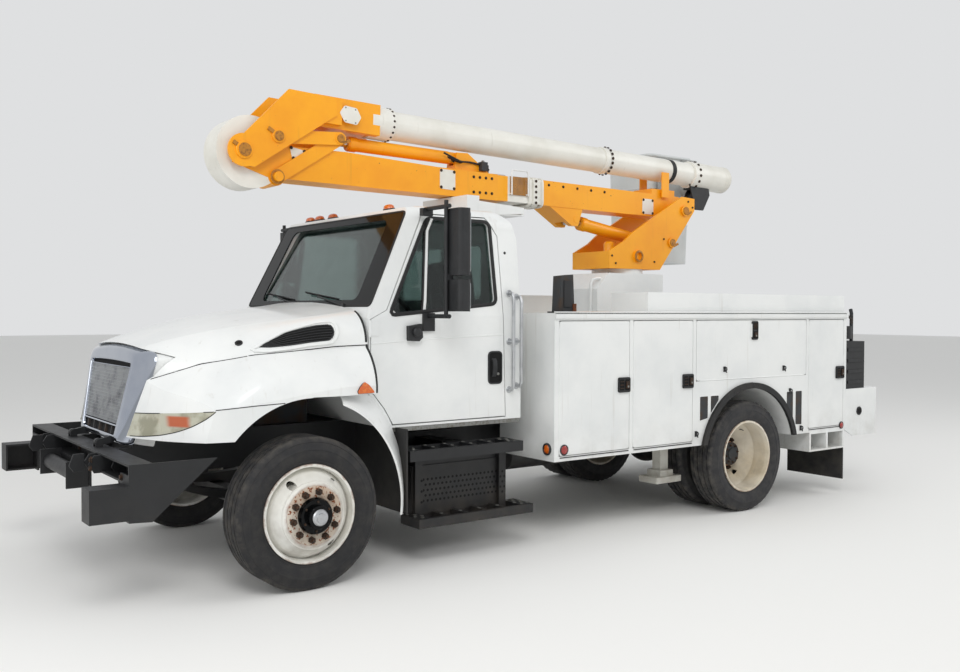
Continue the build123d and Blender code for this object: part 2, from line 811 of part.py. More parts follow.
for side, word in ((1, "left"), (-1, "right")):
    finish(make_cab_door(side), "cab_door_" + word)
    finish(make_door_glass(side), "door_glass_" + word)
    finish(make_mirror(side), "mirror_" + word)

# Tilting nose: one smooth loft, hollow, split along the seam into the hood above and the fenders below.
# Columns: x, crown z, then (y, z) of the shoulder, hood side, seam, fender bulge and fender edge.
nose_stations = (
    (hood_rear_x, 1735, (800, 1685), (950, 1600), (1000, 1450), (1095, 1335), (1130, 1200)),
    (front_axle_x + 40, 1668, (730, 1610), (890, 1525), (955, 1425), (1085, 1305), (1150, 1170)),
    (front_axle_x + 500, 1572, (575, 1528), (705, 1455), (800, 1358), (975, 1235), (1090, 1110)),
    (front_axle_x + 790, 1468, (450, 1442), (560, 1370), (600, 1268), (790, 1165), (985, 1080)),
    (front_axle_x + 960, 1395, (400, 1372), (515, 1300), (555, 1205), (690, 1125), (850, 1045)),
)


def nose_section(station, inset):
    """One cross-section of the nose, moved in by inset: arcs over the crown, the hood side and the fender."""
    x, crown, shoulder, hood_side, seam, bulge, edge = station
    half = [(y - inset, z - inset) for y, z in (shoulder, hood_side, seam, bulge, edge)]
    other = [(-y, z) for y, z in half]
    with BuildSketch(Plane.YZ.offset(x)) as section:
        with BuildLine():
            ThreePointArc(other[0], (0, crown - inset), half[0])
            ThreePointArc(half[0], half[1], half[2])
            ThreePointArc(half[2], half[3], half[4])
            Polyline(half[4], (half[4][0], fender_bottom_z - inset), (other[4][0], fender_bottom_z - inset),
                     other[4])
            ThreePointArc(other[4], other[3], other[2])
            ThreePointArc(other[2], other[1], other[0])
        make_face()
    return section


def nose_solid(inset):
    """The nose's outer or inner form: the loft, cut to its rounded and raked front."""
    face_x = front_axle_x + 908 - inset
    corner_y = 1190 - inset
    with BuildPart() as nose:
        loft([nose_section(station, inset).sketch for station in nose_stations])
        with BuildSketch(Plane.XY.offset(fender_bottom_z - 70)) as plan:
            with BuildLine():
                ThreePointArc((face_x, inset - 450), (face_x + 16, 0), (face_x, 450 - inset))
                ThreePointArc((face_x, 450 - inset), (face_x - 100, 770 - inset), (face_x - 430, corner_y))
                Polyline((face_x - 430, corner_y), (face_x - 600, 1300), (hood_rear_x - 900, 1300),
                         (hood_rear_x - 900, -1300), (face_x - 600, -1300), (face_x - 430, -corner_y))
                ThreePointArc((face_x - 430, -corner_y), (face_x - 100, inset - 770), (face_x, inset - 450))
            make_face()
        extrude(plan.sketch, amount=900, dir=(-nose_rake, 0, 1), mode=Mode.INTERSECT)
    return nose.part


def grille_section(depth, grow):
    """The grille surround's outline on its raked plane, wider and taller towards its back."""
    back = depth / grille_back_depth
    wide = 490 + 172 * back + grow
    narrow = 400 + 105 * back + grow
    tall = 530 + 28 * back + grow
    with BuildSketch(grille_plane.offset(-depth)) as outline:
        with BuildLine():
            Polyline((wide, tall), (narrow, -grow), (-narrow, -grow), (-wide, tall))
            ThreePointArc((-wide, tall), (0, tall + 42), (wide, tall))
        make_face()
    return outline


def cut_wheel_arches():
    """Cut the two wheel arches through the fenders of the part being built, and level their rear ends."""
    for side in (1, -1):
        high_y = max(side * (fender_half_width + 60), side * 560)
        with BuildSketch(side_plane(high_y)) as arch:
            with Locations((arch_centre_x, tyre_radius)):
                Ellipse(arch_half_length, arch_height)
            with Locations((arch_centre_x - 300, fender_rear_z - 400)):
                Rectangle(600, 800)
        extrude(arch.sketch, amount=fender_half_width + 60 - 560, mode=Mode.SUBTRACT)


def lamp_outline(shrink, y):
    """Side view of the swept headlamp on the plane at y, made smaller by shrink."""
    with BuildSketch(side_plane(y)) as lamp:
        with BuildLine():
            Polyline((front_axle_x + 540, 1098), (front_axle_x + 845, 1066), (front_axle_x + 940, 1030),
                     (front_axle_x + 960, 925), (front_axle_x + 900, 924))
            ThreePointArc((front_axle_x + 900, 924), (front_axle_x + 725, 965), (front_axle_x + 540, 1098))
        make_face()
        if shrink:
            offset(amount=-shrink)
    return lamp


nose_outer = nose_solid(0)
nose_inner = nose_solid(hood_wall)
grille_plane = Plane(
    origin=(grille_base_x, 0, grille_bottom_z),
    x_dir=(0, 1, 0),
    z_dir=Vector(1, 0, nose_rake).normalized(),
)
with BuildSketch(side_plane(1400)) as above_seam:
    with BuildLine():
        seam_front = (front_axle_x + 1000, 1180)
        Line(seam_front, (front_axle_x + 790, 1262))
        ThreePointArc((front_axle_x + 790, 1262), (front_axle_x + 250, 1407), (hood_rear_x - 30, 1462))
        Polyline((hood_rear_x - 30, 1462), (hood_rear_x - 30, 2000), (front_axle_x + 1000, 2000), seam_front)
    make_face()

with BuildPart() as hood:
    add(nose_outer)
    add(nose_inner, mode=Mode.SUBTRACT)
    extrude(grille_section(grille_back_depth, seat_gap).sketch, amount=240, both=True, mode=Mode.SUBTRACT)
    extrude(above_seam.sketch, amount=2800, mode=Mode.INTERSECT)
finish(hood, "hood")

with BuildPart() as fenders:
    add(nose_outer)
    add(nose_inner, mode=Mode.SUBTRACT)
    extrude(grille_section(grille_back_depth, seat_gap).sketch, amount=240, both=True, mode=Mode.SUBTRACT)
    extrude(above_seam.sketch, amount=2800, mode=Mode.SUBTRACT)
    cut_wheel_arches()
    for high_y in (1300, -500):
        extrude(lamp_outline(0, high_y).sketch, amount=800, mode=Mode.SUBTRACT)
finish(fenders, "fenders")

# Grille: a chrome surround that flares back to the hood, with recesses for its mesh and slots
with BuildPart() as grille:
    loft([grille_section(grille_back_depth, 0).sketch, grille_section(0, 0).sketch])
    with BuildSketch(grille_plane):
        with Locations((0, 62)):
            RectangleRounded(700, 52, 20)
        Polygon((436, 478), (366, 104), (-366, 104), (-436, 478), align=None)
    extrude(amount=-24, mode=Mode.SUBTRACT)
    for y in (-hood_hinge_y, hood_hinge_y):
        with BuildSketch(side_plane(y + 16)):
            with Locations((hood_hinge_x, hood_hinge_z)):
                Circle(hood_pin_radius + 12)
            Polygon((grille_base_x - 60, grille_bottom_z + 4), (grille_base_x - 20, grille_bottom_z + 30),
                    (hood_hinge_x, hood_hinge_z + 20), (hood_hinge_x, hood_hinge_z - 16),
                    (grille_base_x - 20, grille_bottom_z - 14), align=None)
            with Locations((hood_hinge_x, hood_hinge_z)):
                Circle(hood_pin_radius + seat_gap, mode=Mode.SUBTRACT)
        extrude(amount=32)
finish(grille, "grille")

# Headlamps: swept lamps let into the fender corners
lamp_inner = nose_solid(46)
with BuildPart() as headlamps:
    add(nose_outer)
    add(lamp_inner, mode=Mode.SUBTRACT)
    extrude(lamp_outline(seat_gap, 1300).sketch, amount=2600, mode=Mode.INTERSECT)
    extrude(grille_section(grille_back_depth, seat_gap).sketch, amount=240, both=True, mode=Mode.SUBTRACT)
    with Locations((front_axle_x + 800, 0, 1000)):
        Box(800, 1010, 600, mode=Mode.SUBTRACT)
finish(headlamps, "headlamps")


def splash_form(side, grow):
    """The flare on one side, from the wheel arch's edge in to the door's edge, made larger by grow."""
    with BuildPart() as flare:
        with BuildSketch(side_plane(side * 1140)):
            with Locations((arch_centre_x, tyre_radius)):
                Ellipse(arch_half_length + 12 + grow, arch_height - 4 + grow)
        with BuildSketch(side_plane(side * cab_half_width)):
            with Locations((arch_centre_x, 420)):
                Ellipse(770 + grow, 900 + grow)
        loft()
    return flare.part


# Splash panels: fixed flares behind the front wheels that carry the arch down to its rubber lip
splash_outer = [splash_form(side, 0) for side in (1, -1)]
splash_inner = [splash_form(side, -splash_thickness) for side in (1, -1)]
with BuildPart() as splash_panels:
    add(splash_outer)
    add(splash_inner, mode=Mode.SUBTRACT)
    with BuildSketch(side_plane(1300)):
        Polygon((front_axle_x - 240, fender_rear_z - 6), (front_axle_x - 512, fender_rear_z - 6),
                (front_axle_x - 547, 1104), (front_axle_x - 600, 1040), (front_axle_x - 643, 972),
                (front_axle_x - 668, cab_bottom_z), (front_axle_x - splash_rear, 800),
                (front_axle_x - splash_rear, 620), (front_axle_x - 678, splash_low_z),
                (front_axle_x - 560, splash_low_z), (front_axle_x - 240, 900), align=None)
    extrude(amount=2600, mode=Mode.INTERSECT)
    with Locations((front_axle_x - 500, 0, 800)):
        Box(800, 2 * (cab_half_width + seat_gap), 1000, mode=Mode.SUBTRACT)
finish(splash_panels, "splash_panels")

# Front bumper: a fabricated channel with end wings, step boxes, shackle plates and a roller
with BuildPart() as front_bumper:
    with BuildSketch(side_plane(bumper_half_width)):
        with Locations(((bumper_back_x + bumper_face_x) / 2, (bumper_top_z + bumper_bottom_z) / 2)):
            Rectangle(bumper_face_x - bumper_back_x, bumper_top_z - bumper_bottom_z)
        with Locations(((bumper_back_x + bumper_face_x) / 2 + bumper_plate,
                        (bumper_top_z + bumper_bottom_z) / 2)):
            Rectangle(bumper_face_x - bumper_back_x, bumper_top_z - bumper_bottom_z - 2 * bumper_plate,
                      mode=Mode.SUBTRACT)
    extrude(amount=2 * bumper_half_width)
    for side in (1, -1):
        wing_y = side * bumper_half_width
        with BuildSketch(side_plane(max(wing_y, wing_y - side * bumper_plate))):
            Polygon((front_axle_x + 563, bumper_top_z), (bumper_face_x, bumper_top_z), (bumper_face_x, 532),
                    (front_axle_x + 930, 525), align=None)
        extrude(amount=bumper_plate)
        box_x = (bumper_face_x + nose_x) / 2 - 10
        with Locations((box_x, wing_y - side * end_box_width / 2, end_box_z)):
            Box(nose_x - bumper_face_x + 20, end_box_width, end_box_height)
        with Locations((box_x, wing_y - side * (end_box_width + bumper_plate) / 2, end_box_z)):
            Box(nose_x - bumper_face_x + 20 - 2 * bumper_plate, end_box_width - bumper_plate,
                end_box_height - 2 * bumper_plate, mode=Mode.SUBTRACT)
        with Locations((bumper_face_x - bumper_plate / 2, wing_y - side * end_box_width / 2, 660)):
            Box(bumper_plate, end_box_width, 256)
        for y in (side * 520, side * 620):
            with BuildSketch(side_plane(y + bumper_plate / 2)):
                Polygon((bumper_back_x, bumper_bottom_z), (bumper_back_x, bumper_top_z),
                        (bumper_face_x + 40, bumper_top_z - 10), (bumper_face_x + 70, 790),
                        (bumper_face_x + 40, bumper_bottom_z), align=None)
            extrude(amount=bumper_plate)
        with Locations((bumper_face_x + 60, side * 330, 690)):
            Box(130, bumper_plate, 160)
        with Locations(((rail_front_x + seat_gap + bumper_back_x + 1) / 2, side * (rail_outer_y - 20), 790)):
            Box(bumper_back_x + 1 - rail_front_x - seat_gap, 60, 100)
    with Locations((bumper_face_x + 60, 0, 690)):
        Cylinder(48, 660, rotation=(90, 0, 0))
    with Locations((bumper_face_x - bumper_plate, 0, 680)):
        Box(bumper_plate, 700, 130)
    for y in (-hood_hinge_y, hood_hinge_y):
        for lug_y in (y - 26, y + 26):
            with BuildSketch(side_plane(lug_y + 6)):
                with Locations((hood_hinge_x, hood_hinge_z)):
                    Circle(hood_pin_radius + 10)
                with Locations((hood_hinge_x, (hood_hinge_z + bumper_top_z) / 2 - 3)):
                    Rectangle(42, hood_hinge_z - bumper_top_z + 6)
            extrude(amount=12)
        with Locations((hood_hinge_x, y, hood_hinge_z)):
            Cylinder(hood_pin_radius, 64, rotation=(90, 0, 0))
finish(front_bumper, "front_bumper")


# Side steps: two treads with a battery box between them on the driver's side, a tank on the other
def make_step(x_front, x_rear, y_inner, y_outer, z_top, thickness, side):
    """One open tread: a shallow box with slots through it."""
    with Locations(((x_front + x_rear) / 2, side * (y_inner + y_outer) / 2, z_top - thickness / 2)):
        Box(x_front - x_rear, y_outer - y_inner, thickness)
        with GridLocations((x_front - x_rear) / 6, 1, 5, 1):
            Box((x_front - x_rear) / 6 - 34, y_outer - y_inner - 60, thickness + 4, mode=Mode.SUBTRACT)


with BuildPart() as side_steps:
    for side in (1, -1):
        make_step(front_axle_x - 730, front_axle_x - 1660, 900, 1130, 770, 70, side)
        make_step(front_axle_x - 800, front_axle_x - 1752, 900, 1130, 318, 62, side)
        with Locations((front_axle_x - 1250, side * 700, 470)):
            Box(780, 480, 330)
        for x in (front_axle_x - 900, front_axle_x - 1600):
            with Locations((x, side * 925, 500)):
                Box(60, 90, 500)
        with Locations((front_axle_x - 1250, side * 680, 660)):
            Box(760, 500, 80)
        with Locations((front_axle_x - 1250, side * (rail_outer_y + 20), 740)):
            Box(500, 40 - 2 * seat_gap, 120)
        with Locations((front_axle_x - 1250, side * 660, 730)):
            Box(120, 440, 70)
finish(side_steps, "side_steps")

# Exhaust and tanks under the frame
with BuildPart() as exhaust_and_tanks:
    with Locations((front_axle_x - 2300, -250, 548)):
        Cylinder(110, 760, rotation=(0, 90, 0))
    with Locations((front_axle_x - 2900, -250, 590)):
        Cylinder(45, 1000, rotation=(0, 90, 0))
    with Locations((front_axle_x - 2300, -320, (600 + rail_bottom_z - seat_gap) / 2)):
        Box(60, 140, rail_bottom_z - seat_gap - 600)
    with Locations((front_axle_x - 2450, 270, 532)):
        Cylinder(125, 620, rotation=(0, 90, 0))
    with Locations((front_axle_x - 2450, 345, (580 + rail_bottom_z - seat_gap) / 2)):
        Box(60, 90, rail_bottom_z - seat_gap - 580)
finish(exhaust_and_tanks, "exhaust_and_tanks")

# Service body: side packs with compartments, a floor and a bulkhead between them.
# Columns: name, front x, rear x, bottom z, top z of each door opening.
compartments = (
    ("front", body_front_x - 42, body_front_x - 740, 640, 1608),
    ("middle", body_front_x - 776, body_front_x - 1440, 640, 1608),
    ("upper", body_front_x - 1476, body_front_x - 2910, 1118, 1608),
    ("rear", body_front_x - 2944, body_front_x - 3468, 640, 1608),
)


def compartment_box(x_front, x_rear, z_low, z_high, y_low, y_high):
    """A box between two stations, two heights and two distances from the middle, on the left side."""
    with Locations(((x_front + x_rear) / 2, (y_low + y_high) / 2, (z_low + z_high) / 2)):
        Box(x_front - x_rear, y_high - y_low, z_high - z_low, mode=Mode.SUBTRACT)


pack_split_front_x = (compartments[1][2] + compartments[2][1]) / 2
pack_split_rear_x = (compartments[2][2] + compartments[3][1]) / 2
body_length = body_front_x - body_rear_x
body_middle_x = (body_front_x + body_rear_x) / 2
with BuildPart() as service_body:
    for x_front, x_rear in (
        (body_front_x, pack_split_front_x), (pack_split_front_x - seat_gap, pack_split_rear_x),
        (pack_split_rear_x - seat_gap, body_rear_x),
    ):
        with Locations(((x_front + x_rear) / 2, (pack_inner_y + body_half_width) / 2,
                        (body_bottom_z + body_top_z) / 2)):
            Box(x_front - x_rear, body_half_width - pack_inner_y, body_top_z - body_bottom_z)
    with BuildSketch(side_plane(body_half_width + 10)):
        with Locations((rear_axle_x, tyre_radius)):
            Circle(wheel_well_radius)
    extrude(amount=body_half_width - pack_inner_y + 20, mode=Mode.SUBTRACT)
    for name, x_front, x_rear, z_low, z_high in compartments:
        compartment_box(x_front, x_rear, z_low, z_high, pack_inner_y + body_wall, body_half_width + 1)
    with Locations(((rail_box_front_x + body_rear_x) / 2, (rail_box_inner_y + rail_box_outer_y) / 2,
                    body_top_z + rail_box_height / 2 + seat_gap)):
        Box(rail_box_front_x - body_rear_x, rail_box_outer_y - rail_box_inner_y, rail_box_height)
    with Locations((leg_x, leg_y, body_bottom_z + (leg_top_z + swing_gap - body_bottom_z) / 2)):
        Box(leg_width + 1, leg_width + 1, leg_top_z + swing_gap - body_bottom_z, mode=Mode.SUBTRACT)
    with BuildSketch(side_plane(body_half_width)):
        with Locations((open_box_rear_x + 260, body_bottom_z - seat_gap - open_box_height / 2)):
            Rectangle(520, open_box_height)
        for centre_x in (open_box_rear_x + 135, open_box_rear_x + 385):
            with Locations((centre_x, body_bottom_z - seat_gap - open_box_height / 2)):
                Rectangle(225, open_box_height - 32, mode=Mode.SUBTRACT)
    extrude(amount=body_half_width - 700)
    mirror(about=Plane.XZ)
    bed_half_width = pack_inner_y - seat_gap
    with Locations((body_middle_x, 0, body_floor_z - 30)):
        Box(body_length, 2 * bed_half_width, 60)
    for y in (-rail_outer_y + rail_flange / 2, rail_outer_y - rail_flange / 2):
        with Locations((body_middle_x - 20, y, (rail_top_z + body_floor_z - 60) / 2)):
            Box(body_length - 40, rail_flange, body_floor_z - 60 - rail_top_z)
    with Locations((body_front_x - body_wall / 2, 0, (body_floor_z + seat_gap + body_top_z) / 2)):
        Box(body_wall, 2 * bed_half_width, body_top_z - body_floor_z - seat_gap)
    rest_x = (cab_back_x + body_front_x) / 2
    rest_top_z = boom_bottom(rest_x) - swing_gap
    with Locations((rest_x, 0, (body_floor_z + rest_top_z) / 2)):
        Box(100, 120, rest_top_z - body_floor_z)
    with Locations((rest_x, 0, rest_top_z - 65)):
        Box(118, 620, 130)
    for z in (body_floor_z + 60, body_top_z - 40):
        with Locations(((body_front_x + seat_gap + rest_x) / 2, 0, z)):
            Box(rest_x - body_front_x - seat_gap, 700, 60)
finish(service_body, "service_body")


def make_compartment_door(side, row):
    """A flush door in its opening, stiff pan inside, with its latch boss outside."""
    name, x_front, x_rear, z_low, z_high = row
    y = side * (body_half_width - panel_thickness / 2)
    with BuildPart() as door:
        with Locations(((x_front + x_rear) / 2, y, (z_low + z_high) / 2)):
            Box(x_front - x_rear - 2 * swing_gap, panel_thickness, z_high - z_low - 2 * swing_gap)
        fillet(door.edges().filter_by(Axis.Y), 18)
        if name == "upper":
            with Locations(((x_front + x_rear) / 2, side * body_half_width, z_low + swing_gap)):
                Cylinder(swing_gap - seat_gap, x_front - x_rear - 80, rotation=(0, 90, 0))
        else:
            with Locations((x_front - swing_gap, side * body_half_width, (z_low + z_high) / 2)):
                Cylinder(swing_gap - seat_gap, z_high - z_low - 80)
        latch_x = (x_front + x_rear) / 2 if name == "upper" else x_rear + 62
        latch_z = z_high - 90 if name == "upper" else 1126
        with Locations((latch_x, y + side * (panel_thickness / 2 + 4), latch_z)):
            Box(74, 10, 110)
    return door


for side, word in ((1, "left"), (-1, "right")):
    for row in compartments:
        finish(make_compartment_door(side, row), row[0] + "_compartment_door_" + word)

# Rubber: the rear fender flares, the mud flaps behind the twin wheels and the front wheels' liners
with BuildPart() as rubber_guards:
    for side in (1, -1):
        liner_x = front_axle_x - splash_rear - seat_gap - 6
        with Locations((liner_x, side * 790, (splash_low_z + rail_top_z) / 2)):
            Box(12, 680, rail_top_z - splash_low_z)
        flare_y = side * (body_half_width + 26)
        with BuildSketch(side_plane(max(flare_y, side * (body_half_width + seat_gap)))):
            with Locations((rear_axle_x, tyre_radius)):
                Circle(wheel_well_radius + 46)
                Circle(wheel_well_radius - 2, mode=Mode.SUBTRACT)
            with Locations((rear_axle_x, tyre_radius - 400 + 142)):
                Rectangle(1400, 800, mode=Mode.SUBTRACT)
        extrude(amount=26 - seat_gap)
        with Locations((open_box_rear_x - seat_gap - flap_thickness / 2, side * 880,
                        (flap_bottom_z + body_bottom_z - seat_gap) / 2)):
            Box(flap_thickness, 600, body_bottom_z - seat_gap - flap_bottom_z)
finish(rubber_guards, "rubber_guards")

# Pedestal: the white turntable base that stands on the body floor
with BuildPart() as pedestal:
    with BuildSketch(side_plane(pedestal_half_width)):
        Polygon((pedestal_front_x + 132, body_floor_z + seat_gap), (pedestal_front_x + 132, 1870),
                (pedestal_front_x, pedestal_top_z), (pedestal_rear_x - 200, pedestal_top_z),
                (pedestal_rear_x - 200, body_floor_z + seat_gap), align=None)
    extrude(amount=2 * pedestal_half_width)
    with BuildSketch(Plane.XY.offset(pedestal_top_z - 1)):
        with Locations((slew_axis_x, 0)):
            Circle(230)
    extrude(amount=turret_base_z - pedestal_top_z + 1 - seat_gap)
finish(pedestal, "pedestal")

# Tail: shelf, side plates, step brackets and the pulling hook behind the body
with BuildPart() as tail_shelf:
    shelf_rear_x = tail_x + 60
    with Locations(((body_rear_x - seat_gap + shelf_rear_x) / 2, 0, 935)):
        Box(body_rear_x - seat_gap - shelf_rear_x, 2 * 1150, 50)
    for side in (1, -1):
        with BuildSketch(side_plane(side * 1144 + 6)):
            Polygon((body_rear_x - seat_gap, 960), (shelf_rear_x, 960), (shelf_rear_x, 520),
                    (body_rear_x - 180, 520), (body_rear_x - seat_gap, 610), align=None)
        extrude(amount=12)
        with Locations(((rail_rear_x - seat_gap + shelf_rear_x) / 2, side * (rail_outer_y - 20), 814)):
            Box(rail_rear_x - seat_gap - shelf_rear_x, 60, 198)
        with Locations((shelf_rear_x - 20, side * 900, 560)):
            Box(80, 320, 40)
        with Locations((shelf_rear_x + 5, side * 900, 740)):
            Box(12, 320, 400)
    with Locations((shelf_rear_x + 6, 0, 740)):
        Box(12, 900, 400)
    with Locations(((body_rear_x + shelf_rear_x) / 2, 0, 962)):
        Box(body_rear_x - shelf_rear_x - 60, 1300, 4 + 1)
    with BuildSketch(Plane.YZ.offset(tail_x)):
        with Locations((0, 700)):
            Rectangle(80, 80)
            Rectangle(52, 52, mode=Mode.SUBTRACT)
    extrude(amount=160)
finish(tail_shelf, "tail_shelf")

# Tail machine: the upright drum unit on the shelf
with BuildPart() as tail_machine:
    with Locations((body_rear_x - 230, machine_y, 1180)):
        Box(300, 380, 440 - 2 * seat_gap)
    with Locations((body_rear_x - 230, machine_y, 1560)):
        Cylinder(45, 340)
    with Locations((body_rear_x - 230, machine_y, 1480)):
        Cylinder(130, 120)
finish(tail_machine, "tail_machine")

# Turret: two side plates on a slewing base, with the boom pivot between them
with BuildPart() as turret:
    plate_outline = (
        (slew_axis_x + 325, turret_base_z), (slew_axis_x + 325, turret_base_z + 150),
        (slew_axis_x + 150, turret_base_z + 240), (slew_axis_x + 46, turret_base_z + 320),
        (boom_pivot_x + 27, boom_pivot_z + 129), (boom_pivot_x - 137, boom_pivot_z + 120),
        (boom_pivot_x - 137, boom_pivot_z + 8), (slew_axis_x - 304, turret_base_z),
    )
    for side in (1, -1):
        plate_y = side * turret_half_width
        with BuildSketch(side_plane(max(plate_y, plate_y - side * turret_plate))):
            Polygon(*plate_outline, align=None)
            with Locations((boom_pivot_x, boom_pivot_z)):
                Circle(boom_pin_radius + seat_gap, mode=Mode.SUBTRACT)
        extrude(amount=turret_plate)
    with BuildSketch(Plane.XY.offset(turret_base_z)):
        with Locations((slew_axis_x + 10, 0)):
            Rectangle(628, 2 * turret_half_width)
    extrude(amount=28)
    with Locations((slew_axis_x + 325 - 11, 0, turret_base_z + 75)):
        Box(22, 2 * turret_half_width, 150)
    for side in (1, -1):
        with BuildSketch(side_plane(side * (turret_half_width + 9) + 9)):
            with Locations((slew_axis_x - 17, 2163)):
                Circle(52)
                Circle(34, mode=Mode.SUBTRACT)
        extrude(amount=18)
    with Locations((lower_base_x, 0, lower_base_z)):
        Cylinder(boom_pin_radius, 2 * turret_half_width + 20, rotation=(90, 0, 0))
finish(turret, "turret")

# Lower boom: steel rear section, steel front section, and the lugs and pins that they carry
insulator_rear_x = front_axle_x - 2680
insulator_front_x = front_axle_x - 2200
insulator_lap = 120
pin_layer_y = link_b_y - 1
with BuildPart() as lower_boom:
    rear_start = boom_pivot_x - 60
    with BuildSketch(side_plane(boom_half_width)):
        Polygon((rear_start, boom_bottom(rear_start)), (insulator_rear_x, boom_bottom(insulator_rear_x)),
                (insulator_rear_x, boom_top(insulator_rear_x)), (rear_start, boom_top(rear_start)), align=None)
        with Locations((boom_pivot_x, boom_pivot_z)):
            Circle(75)
    extrude(amount=2 * boom_half_width)
    with BuildSketch(side_plane(boom_half_width - 5)):
        Polygon((lower_eye_x - 80, boom_bottom(lower_eye_x) + 20), (lower_eye_x - 20, lower_eye_z - 58),
                (lower_eye_x + 50, lower_eye_z - 58), (lower_eye_x + 330, boom_bottom(lower_eye_x) + 20),
                align=None)
    extrude(amount=2 * boom_half_width - 10)
    with Locations((lower_eye_x - 60, 0, lower_eye_z - 18)):
        Box(330, 124, 190, mode=Mode.SUBTRACT)
    with Locations((boom_pivot_x, 0, boom_pivot_z)):
        Cylinder(boom_pin_radius, 2 * turret_half_width + 30, rotation=(90, 0, 0))
    with BuildSketch(side_plane(boom_half_width)):
        Polygon((insulator_front_x, boom_bottom(insulator_front_x)), (link_pin_x - 121, boom_bottom(link_pin_x)),
                (link_pin_x + 60, low_pin_z - 4), (elbow_x + 60, elbow_z - 80), (elbow_x + 60, elbow_z + 60),
                (elbow_x - 160, elbow_z + 64), (eye_pin_x - 65, saddle_z),
                (front_axle_x - 1615, boom_top(front_axle_x - 1615)),
                (insulator_front_x, boom_top(insulator_front_x)), align=None)
    extrude(amount=2 * boom_half_width)
    with BuildSketch(side_plane(60)):
        Polygon((trunnion_x - 50, trunnion_z + 46), (trunnion_x + 56, trunnion_z + 42),
                (trunnion_x + 80, boom_top(trunnion_x) - 20), (trunnion_x - 300, boom_top(trunnion_x) - 20),
                align=None)
    extrude(amount=120)
    with Locations((trunnion_x + 60, 0, trunnion_z + 14)):
        Box(250, 64, 140, mode=Mode.SUBTRACT)
    for side in (1, -1):
        with Locations((low_pin_x, side * (boom_half_width + 20), low_pin_z)):
            Cylinder(link_pin_radius, 56, rotation=(90, 0, 0))
        with Locations((lower_eye_x, side * 88, lower_eye_z)):
            Cylinder(30, 50, rotation=(90, 0, 0))
        with Locations((elbow_x, side * (boom_half_width + 36), elbow_z)):
            Cylinder(46, 90, rotation=(90, 0, 0))
    with Locations((low_pin_x, 0, low_pin_z)):
        Cylinder(60, 2 * boom_half_width, rotation=(90, 0, 0))
    post_x = rear_axle_x - 80
    with Locations((post_x, 0, boom_top(post_x) + 20)):
        Box(300, 2 * boom_half_width, 60)
    for y in (-140, 140):
        with Locations((post_x, y, boom_top(post_x) + 90)):
            Box(90, 12, 230)
    with Locations((post_x, 0, boom_top(post_x) + 30)):
        Box(60, 292, 30)
finish(lower_boom, "lower_boom")

# Fibreglass on the lower boom: the insulating section and the round cover over the elbow
with BuildPart() as boom_fibreglass:
    with BuildSketch(side_plane(boom_half_width - 4)):
        Polygon((insulator_rear_x + seat_gap, boom_bottom(insulator_rear_x) + 4),
                (insulator_front_x - seat_gap, boom_bottom(insulator_front_x) + 4),
                (insulator_front_x - seat_gap, boom_top(insulator_front_x) - 4),
                (insulator_rear_x + seat_gap, boom_top(insulator_rear_x) - 4), align=None)
    extrude(amount=2 * (boom_half_width - 4))
    with BuildSketch(side_plane(boom_half_width - 2)):
        with Locations((elbow_x - 76, elbow_z + 2)):
            Circle(248)
        Polygon((insulator_front_x, boom_bottom(insulator_front_x) - 20),
                (link_pin_x - 121, boom_bottom(link_pin_x) - seat_gap),
                (link_pin_x + 60, low_pin_z - 4 - seat_gap), (elbow_x + 60 + seat_gap, elbow_z - 80),
                (elbow_x + 60 + seat_gap, elbow_z + 60 + seat_gap), (elbow_x - 160, elbow_z + 64 + seat_gap),
                (eye_pin_x - 65, saddle_z + seat_gap), (insulator_front_x, saddle_z), align=None,
                mode=Mode.SUBTRACT)
        with Locations((low_pin_x, low_pin_z)):
            Circle(60 + seat_gap, mode=Mode.SUBTRACT)
    extrude(amount=2 * (boom_half_width - 2))
finish(boom_fibreglass, "boom_fibreglass")


def link_outline(start, end, width, holes):
    """A link seen from the side: a bar with round ends and a pin hole at each given point."""
    run = end[0] - start[0]
    rise = end[1] - start[1]
    tilt = math.degrees(math.atan2(rise, run))
    with BuildSketch() as bar:
        with Locations(((start[0] + end[0]) / 2, (start[1] + end[1]) / 2)):
            SlotCenterToCenter(math.hypot(run, rise), width, rotation=tilt)
        with Locations(*holes):
            Circle(link_pin_radius + seat_gap, mode=Mode.SUBTRACT)
    return bar.sketch


# Elbow link A: the wide plates from the lower boom to the rod's eye, with the eye pin's two stubs
low_pin = (low_pin_x, low_pin_z)
link_pin = (link_pin_x, link_pin_z)
eye_pin = (eye_pin_x, eye_pin_z)
with BuildPart() as elbow_link_a:
    for side in (1, -1):
        high_y = max(side * link_a_y, side * (link_a_y + link_a_thickness))
        with BuildSketch(side_plane(high_y)):
            add(link_outline(low_pin, eye_pin, 96, [low_pin]))
        extrude(amount=link_a_thickness)
        with Locations((eye_pin_x, side * (62 + pin_layer_y) / 2, eye_pin_z)):
            Cylinder(link_pin_radius, pin_layer_y - 62, rotation=(90, 0, 0))
finish(elbow_link_a, "elbow_link_a")

# Elbow link B: the bars from the upper boom's head plates, which close over the ends of the eye pin
with BuildPart() as elbow_link_b:
    for side in (1, -1):
        high_y = max(side * link_b_y, side * (link_b_y + link_b_thickness))
        with BuildSketch(side_plane(high_y)):
            add(link_outline(link_pin, eye_pin, 92, [link_pin]))
        extrude(amount=link_b_thickness)
finish(elbow_link_b, "elbow_link_b")

